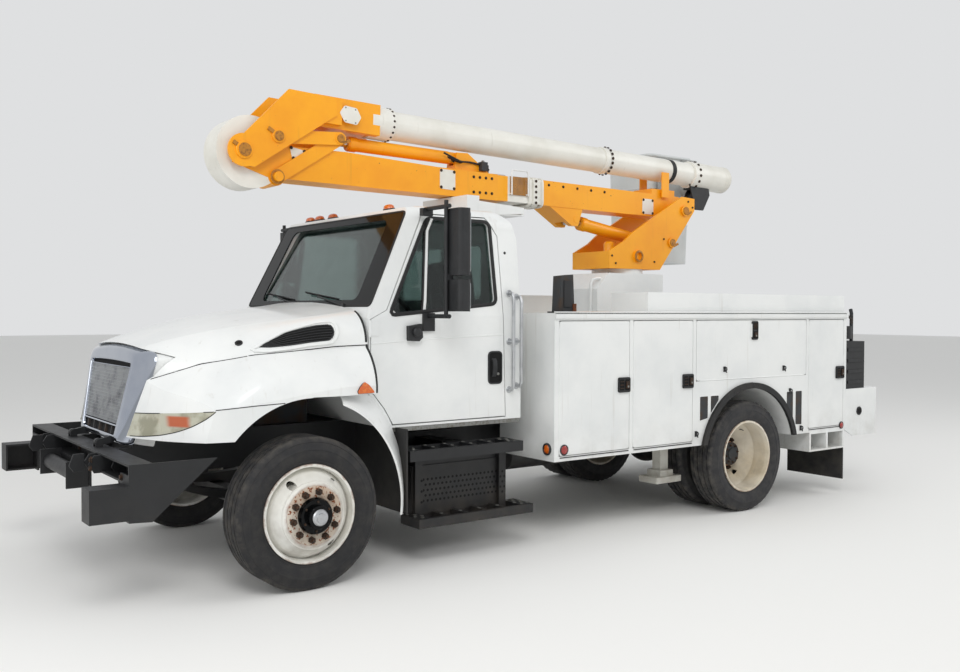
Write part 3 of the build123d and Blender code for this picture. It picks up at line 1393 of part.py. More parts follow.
# Upper boom head: two side plates that turn on the elbow, joined by the collar that grips the tube
collar_rear_x = front_axle_x - 1100
collar_front_x = front_axle_x - 560
with BuildPart() as upper_boom_head:
    for side in (1, -1):
        high_y = max(side * head_plate_y, side * (head_plate_y + head_plate_thickness))
        with BuildSketch(side_plane(high_y)):
            Polygon((elbow_x - 331, tube_front_z + 113), (elbow_x - 696, tube_front_z + 97),
                    (elbow_x - 705, tube_front_z - 24), (elbow_x - 77, elbow_z - 109),
                    (elbow_x + 60, elbow_z - 96), (elbow_x + 110, elbow_z), (elbow_x + 69, elbow_z + 39),
                    align=None)
            with Locations((elbow_x, elbow_z)):
                Circle(112)
                Circle(46 + seat_gap, mode=Mode.SUBTRACT)
        extrude(amount=head_plate_thickness)
        with Locations((link_pin_x, side * (link_b_y + head_plate_y) / 2, link_pin_z)):
            Cylinder(link_pin_radius, head_plate_y - link_b_y + 1, rotation=(90, 0, 0))
    collar_start = Vector(collar_rear_x, 0, tube_line(collar_rear_x))
    collar_end = Vector(collar_front_x, 0, tube_line(collar_front_x))
    collar_plane = Plane(origin=collar_start, x_dir=(0, 1, 0), z_dir=collar_end - collar_start)
    collar_length = (collar_end - collar_start).length
    with BuildSketch(collar_plane):
        Rectangle(2 * 118, 2 * 113)
    extrude(amount=collar_length)
    with BuildSketch(collar_plane.offset(collar_length - 200)):
        Rectangle(2 * head_plate_y, 2 * 90)
    extrude(amount=180)
    with BuildSketch(collar_plane.offset(-1)):
        Circle(tube_radius + seat_gap)
    extrude(amount=collar_length + 2, mode=Mode.SUBTRACT)
finish(upper_boom_head, "upper_boom_head")

# Upper boom tube: the hollow fibreglass tube with its bolted bands and tip cover
with BuildPart() as upper_boom_tube:
    tube_end = Vector(tip_x, 0, tube_line(tip_x))
    tube_length = (collar_end - tube_end).length
    tube_plane = Plane(origin=tube_end, x_dir=(0, 1, 0), z_dir=collar_end - tube_end)
    with BuildSketch(tube_plane):
        Circle(tube_radius)
    extrude(amount=tube_length)
    for station, band_length, band_radius in (
        (tube_length - 680, 138, 124), (tube_length - 2900, 50, 118), (0, 479, 127),
    ):
        with BuildSketch(tube_plane.offset(station)):
            Circle(band_radius)
        extrude(amount=band_length)
    with BuildSketch(tube_plane.offset(30)):
        Circle(tube_radius - 14)
    extrude(amount=tube_length, mode=Mode.SUBTRACT)
    with Locations((bucket_shaft_x, -128, bucket_shaft_z)):
        Cylinder(62, 36, rotation=(90, 0, 0))
        Cylinder(30 + seat_gap, 60, rotation=(90, 0, 0), mode=Mode.SUBTRACT)
finish(upper_boom_tube, "upper_boom_tube")


def make_barrel(base, eye, radius, length, start, eye_half_width):
    """A cylinder barrel from its base pin towards the rod's eye, with its own base eye."""
    along = Vector(eye[0] - base[0], 0, eye[1] - base[1]).normalized()
    origin = Vector(base[0], 0, base[1])
    with BuildPart() as barrel:
        with BuildSketch(Plane(origin=origin + along * start, z_dir=along)):
            Circle(radius)
        extrude(amount=length - start)
        with BuildSketch(Plane(origin=origin + along * (length - 70), z_dir=along)):
            Circle(radius + 6)
        extrude(amount=60)
        with BuildSketch(side_plane(eye_half_width)):
            with Locations(base):
                Circle(44)
        extrude(amount=2 * eye_half_width)
        with BuildSketch(Plane(origin=origin, x_dir=(0, 1, 0), z_dir=along)):
            Rectangle(2 * eye_half_width, 84)
        extrude(amount=start + 1)
        with BuildSketch(Plane(origin=origin + along * (start + 30), z_dir=along)):
            Circle(rod_radius + seat_gap)
        extrude(amount=length, mode=Mode.SUBTRACT)
    return barrel


def make_rod(base, eye, length, eye_half_width):
    """A cylinder rod, from its eye back into the barrel."""
    along = Vector(eye[0] - base[0], 0, eye[1] - base[1]).normalized()
    end = Vector(eye[0], 0, eye[1])
    with BuildPart() as rod:
        with BuildSketch(Plane(origin=end - along * length, z_dir=along)):
            Circle(rod_radius)
        extrude(amount=length - 20)
        with BuildSketch(side_plane(eye_half_width)):
            with Locations(eye):
                Circle(42)
        extrude(amount=2 * eye_half_width)
    return rod


trunnion = (trunnion_x, trunnion_z)
lower_base = (lower_base_x, lower_base_z)
lower_eye = (lower_eye_x, lower_eye_z)
lower_barrel = make_barrel(lower_base, lower_eye, lower_cylinder_radius, 930, 70, 55)
with BuildPart() as lower_cylinder:
    add(lower_barrel.part)
    with Locations((lower_base_x, 0, lower_base_z)):
        Cylinder(boom_pin_radius + seat_gap, 200, rotation=(90, 0, 0), mode=Mode.SUBTRACT)
finish(lower_cylinder, "lower_cylinder")
finish(make_rod(lower_base, lower_eye, 620, 52), "lower_rod")

with BuildPart() as upper_cylinder:
    add(make_barrel(trunnion, eye_pin, upper_cylinder_radius, 1010, 110, 32 - seat_gap).part)
finish(upper_cylinder, "upper_cylinder")
finish(make_rod(trunnion, eye_pin, 940, 55), "upper_rod")

# Bucket: an open fibreglass tub with a rolled lip
bucket_top_z = bucket_bottom_z + bucket_height
bucket_x = bucket_front_x - bucket_length / 2
bucket_y = bucket_side_y - bucket_width / 2
with BuildPart() as bucket:
    with BuildSketch(Plane.XY.offset(bucket_bottom_z)):
        with Locations((bucket_x, bucket_y)):
            RectangleRounded(bucket_length - 50, bucket_width - 50, 60)
    with BuildSketch(Plane.XY.offset(bucket_top_z)):
        with Locations((bucket_x, bucket_y)):
            RectangleRounded(bucket_length, bucket_width, 70)
    loft()
    with BuildSketch(Plane.XY.offset(bucket_bottom_z + bucket_wall)):
        with Locations((bucket_x, bucket_y)):
            RectangleRounded(bucket_length - 50 - 2 * bucket_wall, bucket_width - 50 - 2 * bucket_wall, 48)
    with BuildSketch(Plane.XY.offset(bucket_top_z + 1)):
        with Locations((bucket_x, bucket_y)):
            RectangleRounded(bucket_length - 2 * bucket_wall, bucket_width - 2 * bucket_wall, 56)
    loft(mode=Mode.SUBTRACT)
finish(bucket, "bucket")

# Bucket bracket: the plate on the tub's inner side and the hub that turns on the boom's tip
with BuildPart() as bucket_bracket:
    with BuildSketch(side_plane(bucket_side_y + 40)):
        Polygon((bucket_x - 220, bucket_shaft_z - 240), (bucket_x + 220, bucket_shaft_z - 240),
                (bucket_x + 220, bucket_shaft_z + 120), (bucket_x - 330, bucket_shaft_z + 120),
                (bucket_x - 330, bucket_shaft_z - 60), align=None)
    extrude(amount=16)
    with Locations((bucket_shaft_x, (bucket_side_y + 40 - 150) / 2, bucket_shaft_z)):
        Cylinder(70, abs(bucket_side_y + 40 + 150), rotation=(90, 0, 0))
    with Locations((bucket_shaft_x, -134, bucket_shaft_z)):
        Cylinder(30, 40, rotation=(90, 0, 0))
    for z in (bucket_shaft_z - 200, bucket_shaft_z + 60):
        tub_y = bucket_side_y - 25 * (bucket_top_z - z - 30) / bucket_height
        with Locations((bucket_x, (bucket_side_y + 30 + tub_y + seat_gap) / 2, z)):
            Box(400, bucket_side_y + 30 - tub_y - seat_gap, 60)
finish(bucket_bracket, "bucket_bracket")

# Outriggers: square legs that slide down out of the body in front of the rear wheels
for side, word in ((1, "left"), (-1, "right")):
    with BuildPart() as outrigger:
        with Locations((leg_x, side * leg_y, (leg_pad_z + 40 + leg_top_z) / 2)):
            Box(leg_width, leg_width, leg_top_z - leg_pad_z - 40)
        with Locations((leg_x, side * leg_y, leg_pad_z + 25)):
            Box(leg_pad_size, 200, 50)
        with Locations((leg_x, side * leg_y, leg_pad_z + 70)):
            Box(150, 150, 60)
    finish(outrigger, "outrigger_" + word)
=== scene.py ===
"""Looks of the articulated bucket truck: paint, glass, rubber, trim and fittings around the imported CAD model."""

import logging
import math
from dataclasses import dataclass
from enum import Enum
from typing import Any, Callable, Sequence

import bmesh
import bpy
from mathutils import Matrix, Vector
from mathutils.bvhtree import BVHTree


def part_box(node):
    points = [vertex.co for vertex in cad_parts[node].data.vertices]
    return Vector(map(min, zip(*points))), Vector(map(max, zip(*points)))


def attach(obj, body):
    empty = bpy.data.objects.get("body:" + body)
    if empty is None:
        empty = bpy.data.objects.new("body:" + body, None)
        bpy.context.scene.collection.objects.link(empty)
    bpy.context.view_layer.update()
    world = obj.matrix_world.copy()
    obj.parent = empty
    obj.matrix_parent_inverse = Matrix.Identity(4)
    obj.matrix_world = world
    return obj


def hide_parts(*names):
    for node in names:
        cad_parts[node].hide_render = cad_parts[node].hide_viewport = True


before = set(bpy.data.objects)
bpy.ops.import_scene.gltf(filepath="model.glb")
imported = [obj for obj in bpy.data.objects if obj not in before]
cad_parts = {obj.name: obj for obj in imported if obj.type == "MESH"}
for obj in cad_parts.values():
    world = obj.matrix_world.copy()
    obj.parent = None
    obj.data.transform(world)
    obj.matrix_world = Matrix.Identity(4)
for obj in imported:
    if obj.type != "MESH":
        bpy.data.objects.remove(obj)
log = logging.getLogger("bucket_truck")

# Stations of the two axles and height of the wheels' middle, in metres.
FRONT, REAR, AXLE_Z = 2.380, -1.660, 0.462
ORIGIN, UP = (0, 0, 0), (0, 0, 1)
Point = Sequence[float]
Flat = Sequence[tuple[float, float]]
Piece = bpy.types.Object


def linear(code: str) -> tuple[float, float, float, float]:
    """Turn an sRGB hex colour into linear values.

    Args:
        code: Six hex digits.

    Returns:
        Linear red, green, blue and a full alpha.
    """
    parts = [int(code[i:i + 2], 16) / 255 for i in (0, 2, 4)]
    red, green, blue = (c / 12.92 if c <= 0.04045 else ((c + 0.055) / 1.055) ** 2.4 for c in parts)
    return (red, green, blue, 1.0)


def add_node(tree: Any, kind: str, inputs: dict[Any, Any] | None = None, **settings: Any) -> Any:
    """Add one node to a shader or geometry tree, with its settings, values and links.

    Args:
        tree: The node tree.
        kind: The node's type name.
        inputs: Input name or index to a value, or to an output socket that is linked to it.
        settings: Properties of the node itself.

    Returns:
        The new node.
    """
    node = tree.nodes.new(kind)
    for key, value in settings.items():
        setattr(node, key, value)
    for key, value in (inputs or {}).items():
        if isinstance(value, bpy.types.NodeSocket):
            tree.links.new(value, node.inputs[key])
        else:
            node.inputs[key].default_value = value
    return node


class Weathering:
    """Noise, masks and mixes that the finishes share, all on Object coordinates in metres."""

    def __init__(self, tree: Any) -> None:
        """Start a material's tree from the object's own coordinates."""
        self.tree = tree
        self.place = add_node(tree, "ShaderNodeTexCoord").outputs["Object"]
        self.axes = add_node(tree, "ShaderNodeSeparateXYZ", {0: self.place})

    def math(self, operation: str, *values: Any) -> Any:
        """Return the output of one arithmetic node."""
        return add_node(self.tree, "ShaderNodeMath", dict(enumerate(values)), operation=operation).outputs[0]

    def noise(self, size: float, stretch: Point = (1, 1, 1), detail: float = 4.0, offset: float = 0.0) -> Any:
        """Noise whose features are about one given size.

        Args:
            size: Feature size in metres.
            stretch: Scale along each axis; a small value draws the pattern out.
            detail: Octaves of finer noise.
            offset: Shift that makes two noises differ.

        Returns:
            The noise value socket, 0 to 1.
        """
        mapping = add_node(self.tree, "ShaderNodeMapping",
                           {"Vector": self.place, "Location": (offset,) * 3, "Scale": tuple(stretch)})
        values = {"Vector": mapping.outputs[0], "Scale": 1 / size, "Detail": detail, "Roughness": 0.6}
        return add_node(self.tree, "ShaderNodeTexNoise", values).outputs[0]

    def ramp(self, value: Any, low: float, high: float) -> Any:
        """Map low..high to 0..1, clamped and smooth."""
        return add_node(self.tree, "ShaderNodeMapRange", {"Value": value, "From Min": low, "From Max": high},
                        interpolation_type="SMOOTHSTEP").outputs[0]

    def mix(self, amount: Any, first: Any, second: Any) -> Any:
        """Mix two colours, each a socket or a hex code."""
        first, second = (linear(colour) if isinstance(colour, str) else colour for colour in (first, second))
        return add_node(self.tree, "ShaderNodeMix", {0: amount, 6: first, 7: second}, data_type="RGBA").outputs[2]

    def radial(self, x: float) -> Any:
        """Distance from the axle line that runs along Y at a station."""
        squares = [self.math("POWER", self.math("SUBTRACT", self.axes.outputs[axis], at), 2.0)
                   for axis, at in ((0, x), (2, AXLE_Z))]
        return self.math("SQRT", self.math("ADD", *squares))

    def bump(self, height: Any, distance: float) -> Any:
        """Bump normal from a height socket; distance is in metres."""
        return add_node(self.tree, "ShaderNodeBump",
                        {"Height": height, "Distance": distance, "Strength": 1.0}).outputs[0]


@dataclass(frozen=True)
class Finish:
    """A plain finish, with slight mottling; other finishes override paint."""

    name: str
    base: str
    roughness: float = 0.5
    metallic: float = 0.0
    coat: float = 0.0
    transmission: float = 0.0
    ior: float = 1.5
    shade: str = ""
    shade_size: float = 0.12
    grain: float = 0.0
    grain_size: float = 0.002
    unevenness: float = 0.10

    def material(self) -> bpy.types.Material:
        """Build the material at its first use.

        Returns:
            The one material of this finish.
        """
        found = bpy.data.materials.get(self.name)
        if found is not None:
            return found
        made = bpy.data.materials.new(self.name)
        made.use_nodes = True
        shader = made.node_tree.nodes["Principled BSDF"]
        values = {"Base Color": linear(self.base), "Roughness": self.roughness, "Metallic": self.metallic,
                  "Coat Weight": self.coat, "Coat Roughness": 0.08, "Transmission Weight": self.transmission}
        if not self.metallic:
            values["IOR"] = self.ior
        for name, value in values.items():
            shader.inputs[name].default_value = value
        made.diffuse_color = linear(self.base)
        self.paint(Weathering(made.node_tree), shader)
        return made

    def colour(self, wear: Weathering) -> Any:
        """Base colour socket: the base, mottled towards the shade."""
        amount = wear.ramp(wear.noise(self.shade_size), 0.42, 0.72)
        return wear.mix(amount, self.base, self.shade or self.base)

    def paint(self, wear: Weathering, shader: Any) -> None:
        """Add the finish's pattern to its shader.

        Args:
            wear: Pattern helper on the material's tree.
            shader: The Principled shader.
        """
        tree = wear.tree
        tree.links.new(self.colour(wear), shader.inputs["Base Color"])
        gloss = wear.ramp(wear.noise(self.shade_size * 0.6, offset=3.1), 0.2, 0.9)
        rough = wear.math("MULTIPLY_ADD", gloss, self.unevenness, self.roughness)
        tree.links.new(rough, shader.inputs["Roughness"])
        if self.grain:
            grain = wear.noise(self.grain_size, detail=2.0, offset=7.7)
            tree.links.new(wear.bump(grain, self.grain), shader.inputs["Normal"])


@dataclass(frozen=True)
class PaintedSteel(Finish):
    """Sprayed enamel: road film near the ground, faint vertical streaks and a few chips."""

    dirt: str = "8F8676"
    dirt_top: float = 0.95
    streak: float = 0.22
    streak_colour: str = "A79C88"
    chips: float = 0.0
    chip_colour: str = "6A4024"

    def colour(self, wear: Weathering) -> Any:
        """Enamel, then streaks, road film and chips on top.

        Args:
            wear: Pattern helper on the material's tree.

        Returns:
            The colour's socket.
        """
        body = wear.mix(wear.ramp(wear.noise(0.5), 0.35, 0.75), self.base, self.shade or self.base)
        streaks = wear.ramp(wear.noise(0.05, (1.0, 1.0, 0.07), 3.0, 5.5), 0.60, 0.80)
        body = wear.mix(wear.math("MULTIPLY", streaks, self.streak), body, self.streak_colour)
        height = wear.ramp(wear.axes.outputs[2], self.dirt_top, self.dirt_top - 0.75)
        film = wear.math("MULTIPLY", height, wear.ramp(wear.noise(0.16, offset=2.2), 0.3, 0.75))
        body = wear.mix(wear.math("MULTIPLY", film, 0.55), body, self.dirt)
        if self.chips:
            spots = wear.ramp(wear.noise(0.022, detail=6.0, offset=9.0), 0.70 - self.chips, 0.74 - self.chips)
            body = wear.mix(spots, body, self.chip_colour)
        return body


@dataclass(frozen=True)
class WheelEnamel(PaintedSteel):
    """Wheel enamel with rust that spreads from the bolt circle and along the rim's lip."""

    x: float = FRONT
    hub_rust: float = 0.176
    lip_rust: float = 0.292

    def colour(self, wear: Weathering) -> Any:
        """Enamel with rings of rust around the wheel's own axle line.

        Args:
            wear: Pattern helper on the material's tree.

        Returns:
            The colour's socket.
        """
        body = PaintedSteel.colour(self, wear)
        distance = wear.radial(self.x)
        ragged = wear.math("MULTIPLY_ADD", wear.noise(0.05, detail=6.0), 0.05, distance)
        hub = wear.ramp(ragged, self.hub_rust + 0.045, self.hub_rust + 0.005)
        lip = wear.ramp(ragged, self.lip_rust + 0.022, self.lip_rust + 0.040)
        body = wear.mix(wear.math("MULTIPLY", lip, 0.75), body, "7B4A2A")
        return wear.mix(wear.math("MULTIPLY", hub, 0.9), body, "8A5330")


@dataclass(frozen=True)
class HalfSprayed(PaintedSteel):
    """Gelcoat that a second colour covers between two stations."""

    over: str = "FCAB08"
    start: float = 0.075
    stop: float = 0.600

    def colour(self, wear: Weathering) -> Any:
        """The second colour between the stations, gelcoat elsewhere.

        Args:
            wear: Pattern helper on the material's tree.

        Returns:
            The colour's socket.
        """
        along = wear.axes.outputs[0]
        band = wear.math("MULTIPLY", wear.ramp(along, self.start - 0.001, self.start + 0.001),
                         wear.ramp(along, self.stop + 0.001, self.stop - 0.001))
        return wear.mix(band, PaintedSteel.colour(self, wear), self.over)


@dataclass(frozen=True)
class TyreRubber(Finish):
    """Moulded tyre rubber, greyed with dust on its tread and shoulders."""

    x: float = FRONT

    def colour(self, wear: Weathering) -> Any:
        """Black rubber under a thin film of dust, thicker on the tread.

        Args:
            wear: Pattern helper on the material's tree.

        Returns:
            The colour's socket.
        """
        distance = wear.radial(self.x)
        tread = wear.ramp(distance, 0.430, 0.458)
        dust = wear.ramp(wear.noise(0.06, detail=6.0), 0.35, 0.75)
        amount = wear.math("MULTIPLY", dust, wear.math("MULTIPLY_ADD", tread, 0.45, 0.18))
        return wear.mix(amount, self.base, self.shade)


@dataclass(frozen=True)
class LampLens(Finish):
    """Yellowed polycarbonate lamp lens with an orange turn-signal part set in it."""

    signal: str = "D9652A"

    def colour(self, wear: Weathering) -> Any:
        """Cloudy lens, and orange inside the signal's oblong.

        Args:
            wear: Pattern helper on the material's tree.

        Returns:
            The colour's socket.
        """
        cloudy = wear.mix(wear.ramp(wear.noise(0.16), 0.40, 0.62), self.base, self.shade)
        along = wear.axes.outputs[0]
        inside = wear.math("MULTIPLY", wear.ramp(along, FRONT + 0.645, FRONT + 0.672),
                           wear.ramp(along, FRONT + 0.752, FRONT + 0.728))
        tall = wear.math("MULTIPLY", wear.ramp(wear.axes.outputs[2], 0.996, 1.010),
                         wear.ramp(wear.axes.outputs[2], 1.070, 1.056))
        return wear.mix(wear.math("MULTIPLY", inside, tall), cloudy, self.signal)


@dataclass(frozen=True)
class WovenCloth(Finish):
    """Woven seat cloth: a 3 mm basket weave, drawn that coarse so that it shows."""

    thread: float = 0.003

    def paint(self, wear: Weathering, shader: Any) -> None:
        """Weave bump from two crossed waves, and a soft sheen.

        Args:
            wear: Pattern helper on the material's tree.
            shader: The Principled shader.
        """
        Finish.paint(self, wear, shader)
        values = {"Vector": wear.place, "Scale": 0.05 / self.thread, "Distortion": 0.4}
        waves = [add_node(wear.tree, "ShaderNodeTexWave", values, bands_direction=axis).outputs[1]
                 for axis in ("Y", "Z")]
        height = wear.math("MAXIMUM", waves[0], waves[1])
        wear.tree.links.new(wear.bump(height, 0.0006), shader.inputs["Normal"])
        shader.inputs["Sheen Weight"].default_value = 0.3


class Look:
    """Every finish on the truck, named for what the real one is."""

    # Sprayed white enamel over steel: bright, glossy, with a thin film of road dust low down.
    BODY = PaintedSteel("white_enamel", "EDEEEC", 0.30, coat=0.5, shade="E2E4E3")
    # The same enamel on the aerial device, faded by the sun, stained and chipped at its edges.
    AERIAL = PaintedSteel("yellow_orange_enamel", "FCAB08", 0.40, coat=0.12, shade="F39C06", dirt_top=-1.0,
                          streak=0.22, streak_colour="C08426", chips=0.012)
    # Brush-touched chassis enamel: nearly black, satin, brown with dust near the ground.
    CHASSIS = PaintedSteel("black_chassis_enamel", "131416", 0.46, shade="1D1E20", dirt="4A4238",
                           dirt_top=0.80, streak=0.10, streak_colour="3A362F")
    # The outriggers' enamel: greyed, streaked, and worn down to brown spots.
    OUTRIGGER = PaintedSteel("chipped_white_enamel", "D8D6CE", 0.45, shade="C4C0B5", dirt="8A7B66", streak=0.4,
                             chips=0.03)
    # Wheel enamel, off-white in front and cream behind, with rust round bolts and rim.
    FRONT_WHEEL = WheelEnamel("front_wheel_enamel", "E9E8E2", 0.38, shade="D8D5CB", x=FRONT)
    REAR_WHEEL = WheelEnamel("rear_wheel_enamel", "E4DDCE", 0.48, shade="CFC0A3", x=REAR, streak=0.4,
                             hub_rust=0.120)
    # Black rubber in front, greyer and dustier behind.
    FRONT_TYRE = TyreRubber("front_tyre_rubber", "1F1F21", 0.72, shade="57524B", grain=0.0006, x=FRONT)
    REAR_TYRE = TyreRubber("rear_tyre_rubber", "2A2A2C", 0.74, shade="66615A", grain=0.0006, x=REAR)
    # Plated trim: a mirror with faint smears, its grey darkened and tinted blue as a painted reflection of a dark sky.
    CHROME = Finish("chrome_plate", "B4B9C2", 0.04, metallic=1.0, shade="A6ACB8", shade_size=0.5, unevenness=0.03)
    # Dull steel wire, its grey darkened with painted shade: grey glints.
    MESH = Finish("stainless_mesh", "A9ABAD", 0.32, metallic=1.0, shade="7E8083")
    # Worn bright metal: a soft, pale shine.
    ALUMINIUM = Finish("brushed_aluminium", "C3C5C7", 0.34, metallic=1.0, shade="A8AAAC", grain=0.0002)
    # Plated fittings: flat grey with darker blotches.
    ZINC = Finish("zinc_plated_steel", "8E8F8C", 0.45, metallic=0.9, shade="6F6A60", shade_size=0.02)
    # Bare steel gone to coarse red-brown rust.
    RUST = Finish("rusted_steel", "7A4526", 0.85, metallic=0.15, shade="4A3226", shade_size=0.018,
                  grain=0.0008, grain_size=0.004)
    # Nuts and bolts under oily grime: dark, with a dull glint.
    STUD = Finish("grimy_steel", "3B332D", 0.6, metallic=0.6, shade="5C3D28", shade_size=0.015)
    # Bolt circle where the enamel has flaked: patches of red-brown rust between off-white paint.
    RUSTY_ENAMEL = PaintedSteel("flaking_wheel_enamel", "DDD5C8", 0.6, shade="BE9E80", streak=0.0, chips=0.16,
                                chip_colour="84471F")
    # Pin ends: ochre, darker than the boom's orange, mottled to brown.
    PIN = Finish("painted_pin_end", "B87A22", 0.5, shade="7A4E1C", shade_size=0.02)
    # Laminated safety glass with a grey-green body tint, darkened further as a painted reflection of a dark sky and
    # painted shade of the dim cab behind it.
    GLASS = Finish("tinted_glass", "94A5A1", 0.03, transmission=1.0, ior=1.45, shade="8B9C99")
    # Glossy near-black glass edge.
    FRIT = Finish("black_glass_border", "090A0B", 0.08, ior=1.25, shade="0F1012", unevenness=0.04)
    # Plastic gone yellow and cloudy, still with a sharp shine.
    LENS = LampLens("yellowed_lamp_lens", "A9A68C", 0.10, coat=1.0, transmission=0.35, shade="DEDCC6")
    # Deep orange plastic, and deep red below.
    AMBER = Finish("amber_lens", "E0641A", 0.14, coat=0.8, transmission=0.15, shade="F08A2E", shade_size=0.02)
    RED = Finish("red_lens", "9C1F18", 0.16, coat=0.8, transmission=0.1, shade="B8332A", shade_size=0.02)
    # Black moulded plastic with a fine pebble grain.
    MOULDED = Finish("black_moulded_plastic", "17181A", 0.48, shade="222325", grain=0.0004)
    # Matt black rubber that reads as a line.
    SEAL = Finish("black_rubber_seal", "0E0E0F", 0.6, shade="19191A")
    # Hanging rubber sheet: charcoal, brown with dust low down.
    FLAP = PaintedSteel("black_rubber_sheet", "1C1C1D", 0.66, shade="2A2826", dirt="4A463F", dirt_top=0.9, streak=0.04,
                        streak_colour="4A453D")
    # Grained grey plastic in the cab's shade.
    CABIN = Finish("grey_cabin_plastic", "4C4A47", 0.6, shade="3E3C3A", grain=0.0004)
    # Dark cloth whose weave shows close by.
    CLOTH = WovenCloth("woven_seat_cloth", "3C3A3B", 0.9, shade="2E2D2F")
    # Gelcoat over glass fibre: smooth, slightly chalky, with grey stains.
    GELCOAT = PaintedSteel("white_gelcoat", "EBE9E1", 0.34, shade="DAD7CC", dirt_top=-1.0, streak=0.30,
                           streak_colour="B8B2A2")
    # Cooler and duller than the white gelcoat: the bucket's white gelcoat, greyed with painted shade.
    GREY_GELCOAT = PaintedSteel("grey_gelcoat", "D5D8D7", 0.40, shade="C6CAC9", dirt_top=-1.0, streak=0.2)
    # Satin mid grey on small steel fittings.
    GREY_PAINT = PaintedSteel("light_grey_enamel", "A9ABAA", 0.42, shade="9A9C9B", dirt_top=-1.0, streak=0.2)
    # The boom's insulator: bare gelcoat, sprayed over with the boom's colour at its front end.
    INSULATOR = HalfSprayed("insulator_gelcoat", "EBE9E1", 0.34, shade="DAD7CC", dirt_top=-1.0, streak=0.30,
                            streak_colour="B8B2A2")
    # Rough cast iron, nearly black, with brown patches.
    IRON = Finish("cast_iron", "3E4042", 0.75, metallic=0.3, shade="4B3C30", grain=0.001, grain_size=0.006)
    # Hard chrome: a bright, clean line of light.
    ROD = Finish("plated_rod", "C9CACC", 0.12, metallic=1.0, shade="B5B6B8")
    # A clear reflection.
    MIRROR = Finish("silvered_mirror", "D5D9DC", 0.03, metallic=1.0, shade="CDD2D6")
    # Clear cover aged to orange-brown over the insulator's joint.
    AMBER_COVER = Finish("aged_clear_cover", "C98A2E", 0.2, coat=0.6, transmission=0.5, shade="A86F24")
    # Near-black: dark joints, and painted shade in recesses, holes, the vent and the grille's inside.
    JOINT_AND_SHADE = Finish("shadow_gap", "060606", 0.9, shade="0A0A0A")


class Surface:
    """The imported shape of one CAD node, to lay thin trim on."""

    def __init__(self, node: str) -> None:
        """Build the search tree of the node's mesh."""
        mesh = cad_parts[node].data
        self.tree = BVHTree.FromPolygons([v.co.copy() for v in mesh.vertices],
                                         [tuple(p.vertices) for p in mesh.polygons])

    def hit(self, start: Point, direction: Point) -> tuple[Vector, Vector] | None:
        """Where a ray first meets the node.

        Args:
            start: A point outside the node.
            direction: The ray's direction.

        Returns:
            The point and the outward normal, or None where it misses.
        """
        ahead = Vector(direction).normalized()
        place, normal, _, _ = self.tree.ray_cast(Vector(start), ahead)
        if place is None:
            return None
        return place, -normal if normal.dot(ahead) > 0 else normal

    def from_side(self, side: int, x: float, z: float) -> tuple[Vector, Vector] | None:
        """The node's outermost point on one side of the truck at x and z."""
        return self.hit((x, side * 2.0, z), (0, -side, 0))

    def depth(self, side: int, x: float, z: float, default: float = 1.0) -> float:
        """How far out the side's surface lies at x and z, or the default where there is none."""
        found = self.from_side(side, x, z)
        return abs(found[0].y) if found else default


def resample(path: Sequence[Point], step: float, closed: bool = False) -> list[Vector]:
    """Points at even steps along a path.

    Args:
        path: The path's corners.
        step: About how far apart the points lie.
        closed: Whether the path closes on itself.

    Returns:
        The points, without a second first one where the path is closed.
    """
    corners = [Vector(p) for p in path] + ([Vector(path[0])] if closed else [])
    lengths = [0.0]
    for first, second in zip(corners, corners[1:]):
        lengths.append(lengths[-1] + (second - first).length)
    count = max(2, round(lengths[-1] / step))
    made = []
    for i in range(count if closed else count + 1):
        along = lengths[-1] * i / count
        k = max(j for j in range(len(lengths) - 1) if lengths[j] <= along + 1e-9)
        made.append(corners[k].lerp(corners[k + 1], (along - lengths[k]) / max(lengths[k + 1] - lengths[k], 1e-9)))
    return made


def rounded(corners: Sequence[Point], radius: float, steps: int = 5) -> list[Vector]:
    """A closed outline with each corner cut to an arc-like curve.

    Args:
        corners: The outline's corners.
        radius: Length that a curve takes from each side, at most 49 hundredths of it.
        steps: Parts of each curve.

    Returns:
        The new outline.
    """
    made = []
    points = [Vector(c) for c in corners]
    for i, corner in enumerate(points):
        before = points[i - 1] - corner
        after = points[(i + 1) % len(points)] - corner
        reach = min(radius, before.length * 0.49, after.length * 0.49)
        start, end = corner + before.normalized() * reach, corner + after.normalized() * reach
        for k in range(steps + 1):
            t = k / steps
            made.append(start * (1 - t) ** 2 + corner * 2 * t * (1 - t) + end * t ** 2)
    return made


def circle(radius: float, steps: int = 12) -> list[tuple[float, float]]:
    """Points of a round section."""
    turns = [math.tau * k / steps for k in range(steps)]
    return [(radius * math.cos(turn), radius * math.sin(turn)) for turn in turns]


def put(name: str, data: Any) -> Piece:
    """Put a mesh, light or camera in the scene as an object."""
    made = bpy.data.objects.new(name, data)
    bpy.context.collection.objects.link(made)
    return made


def oblong(centre: Point, across: Point, up: Point, radius: float, steps: int = 5) -> list[Vector]:
    """A rounded rectangle by its centre and its two half axes."""
    middle, u, v = Vector(centre), Vector(across), Vector(up)
    return rounded([middle + u * a + v * b for a, b in ((-1, -1), (1, -1), (1, 1), (-1, 1))], radius, steps)


def bead(half: float, low: float, top_half: float, high: float) -> list[tuple[float, float]]:
    """A small section with a wide foot and a narrower top."""
    return [(-half, low), (half, low), (top_half, high), (-top_half, high)]


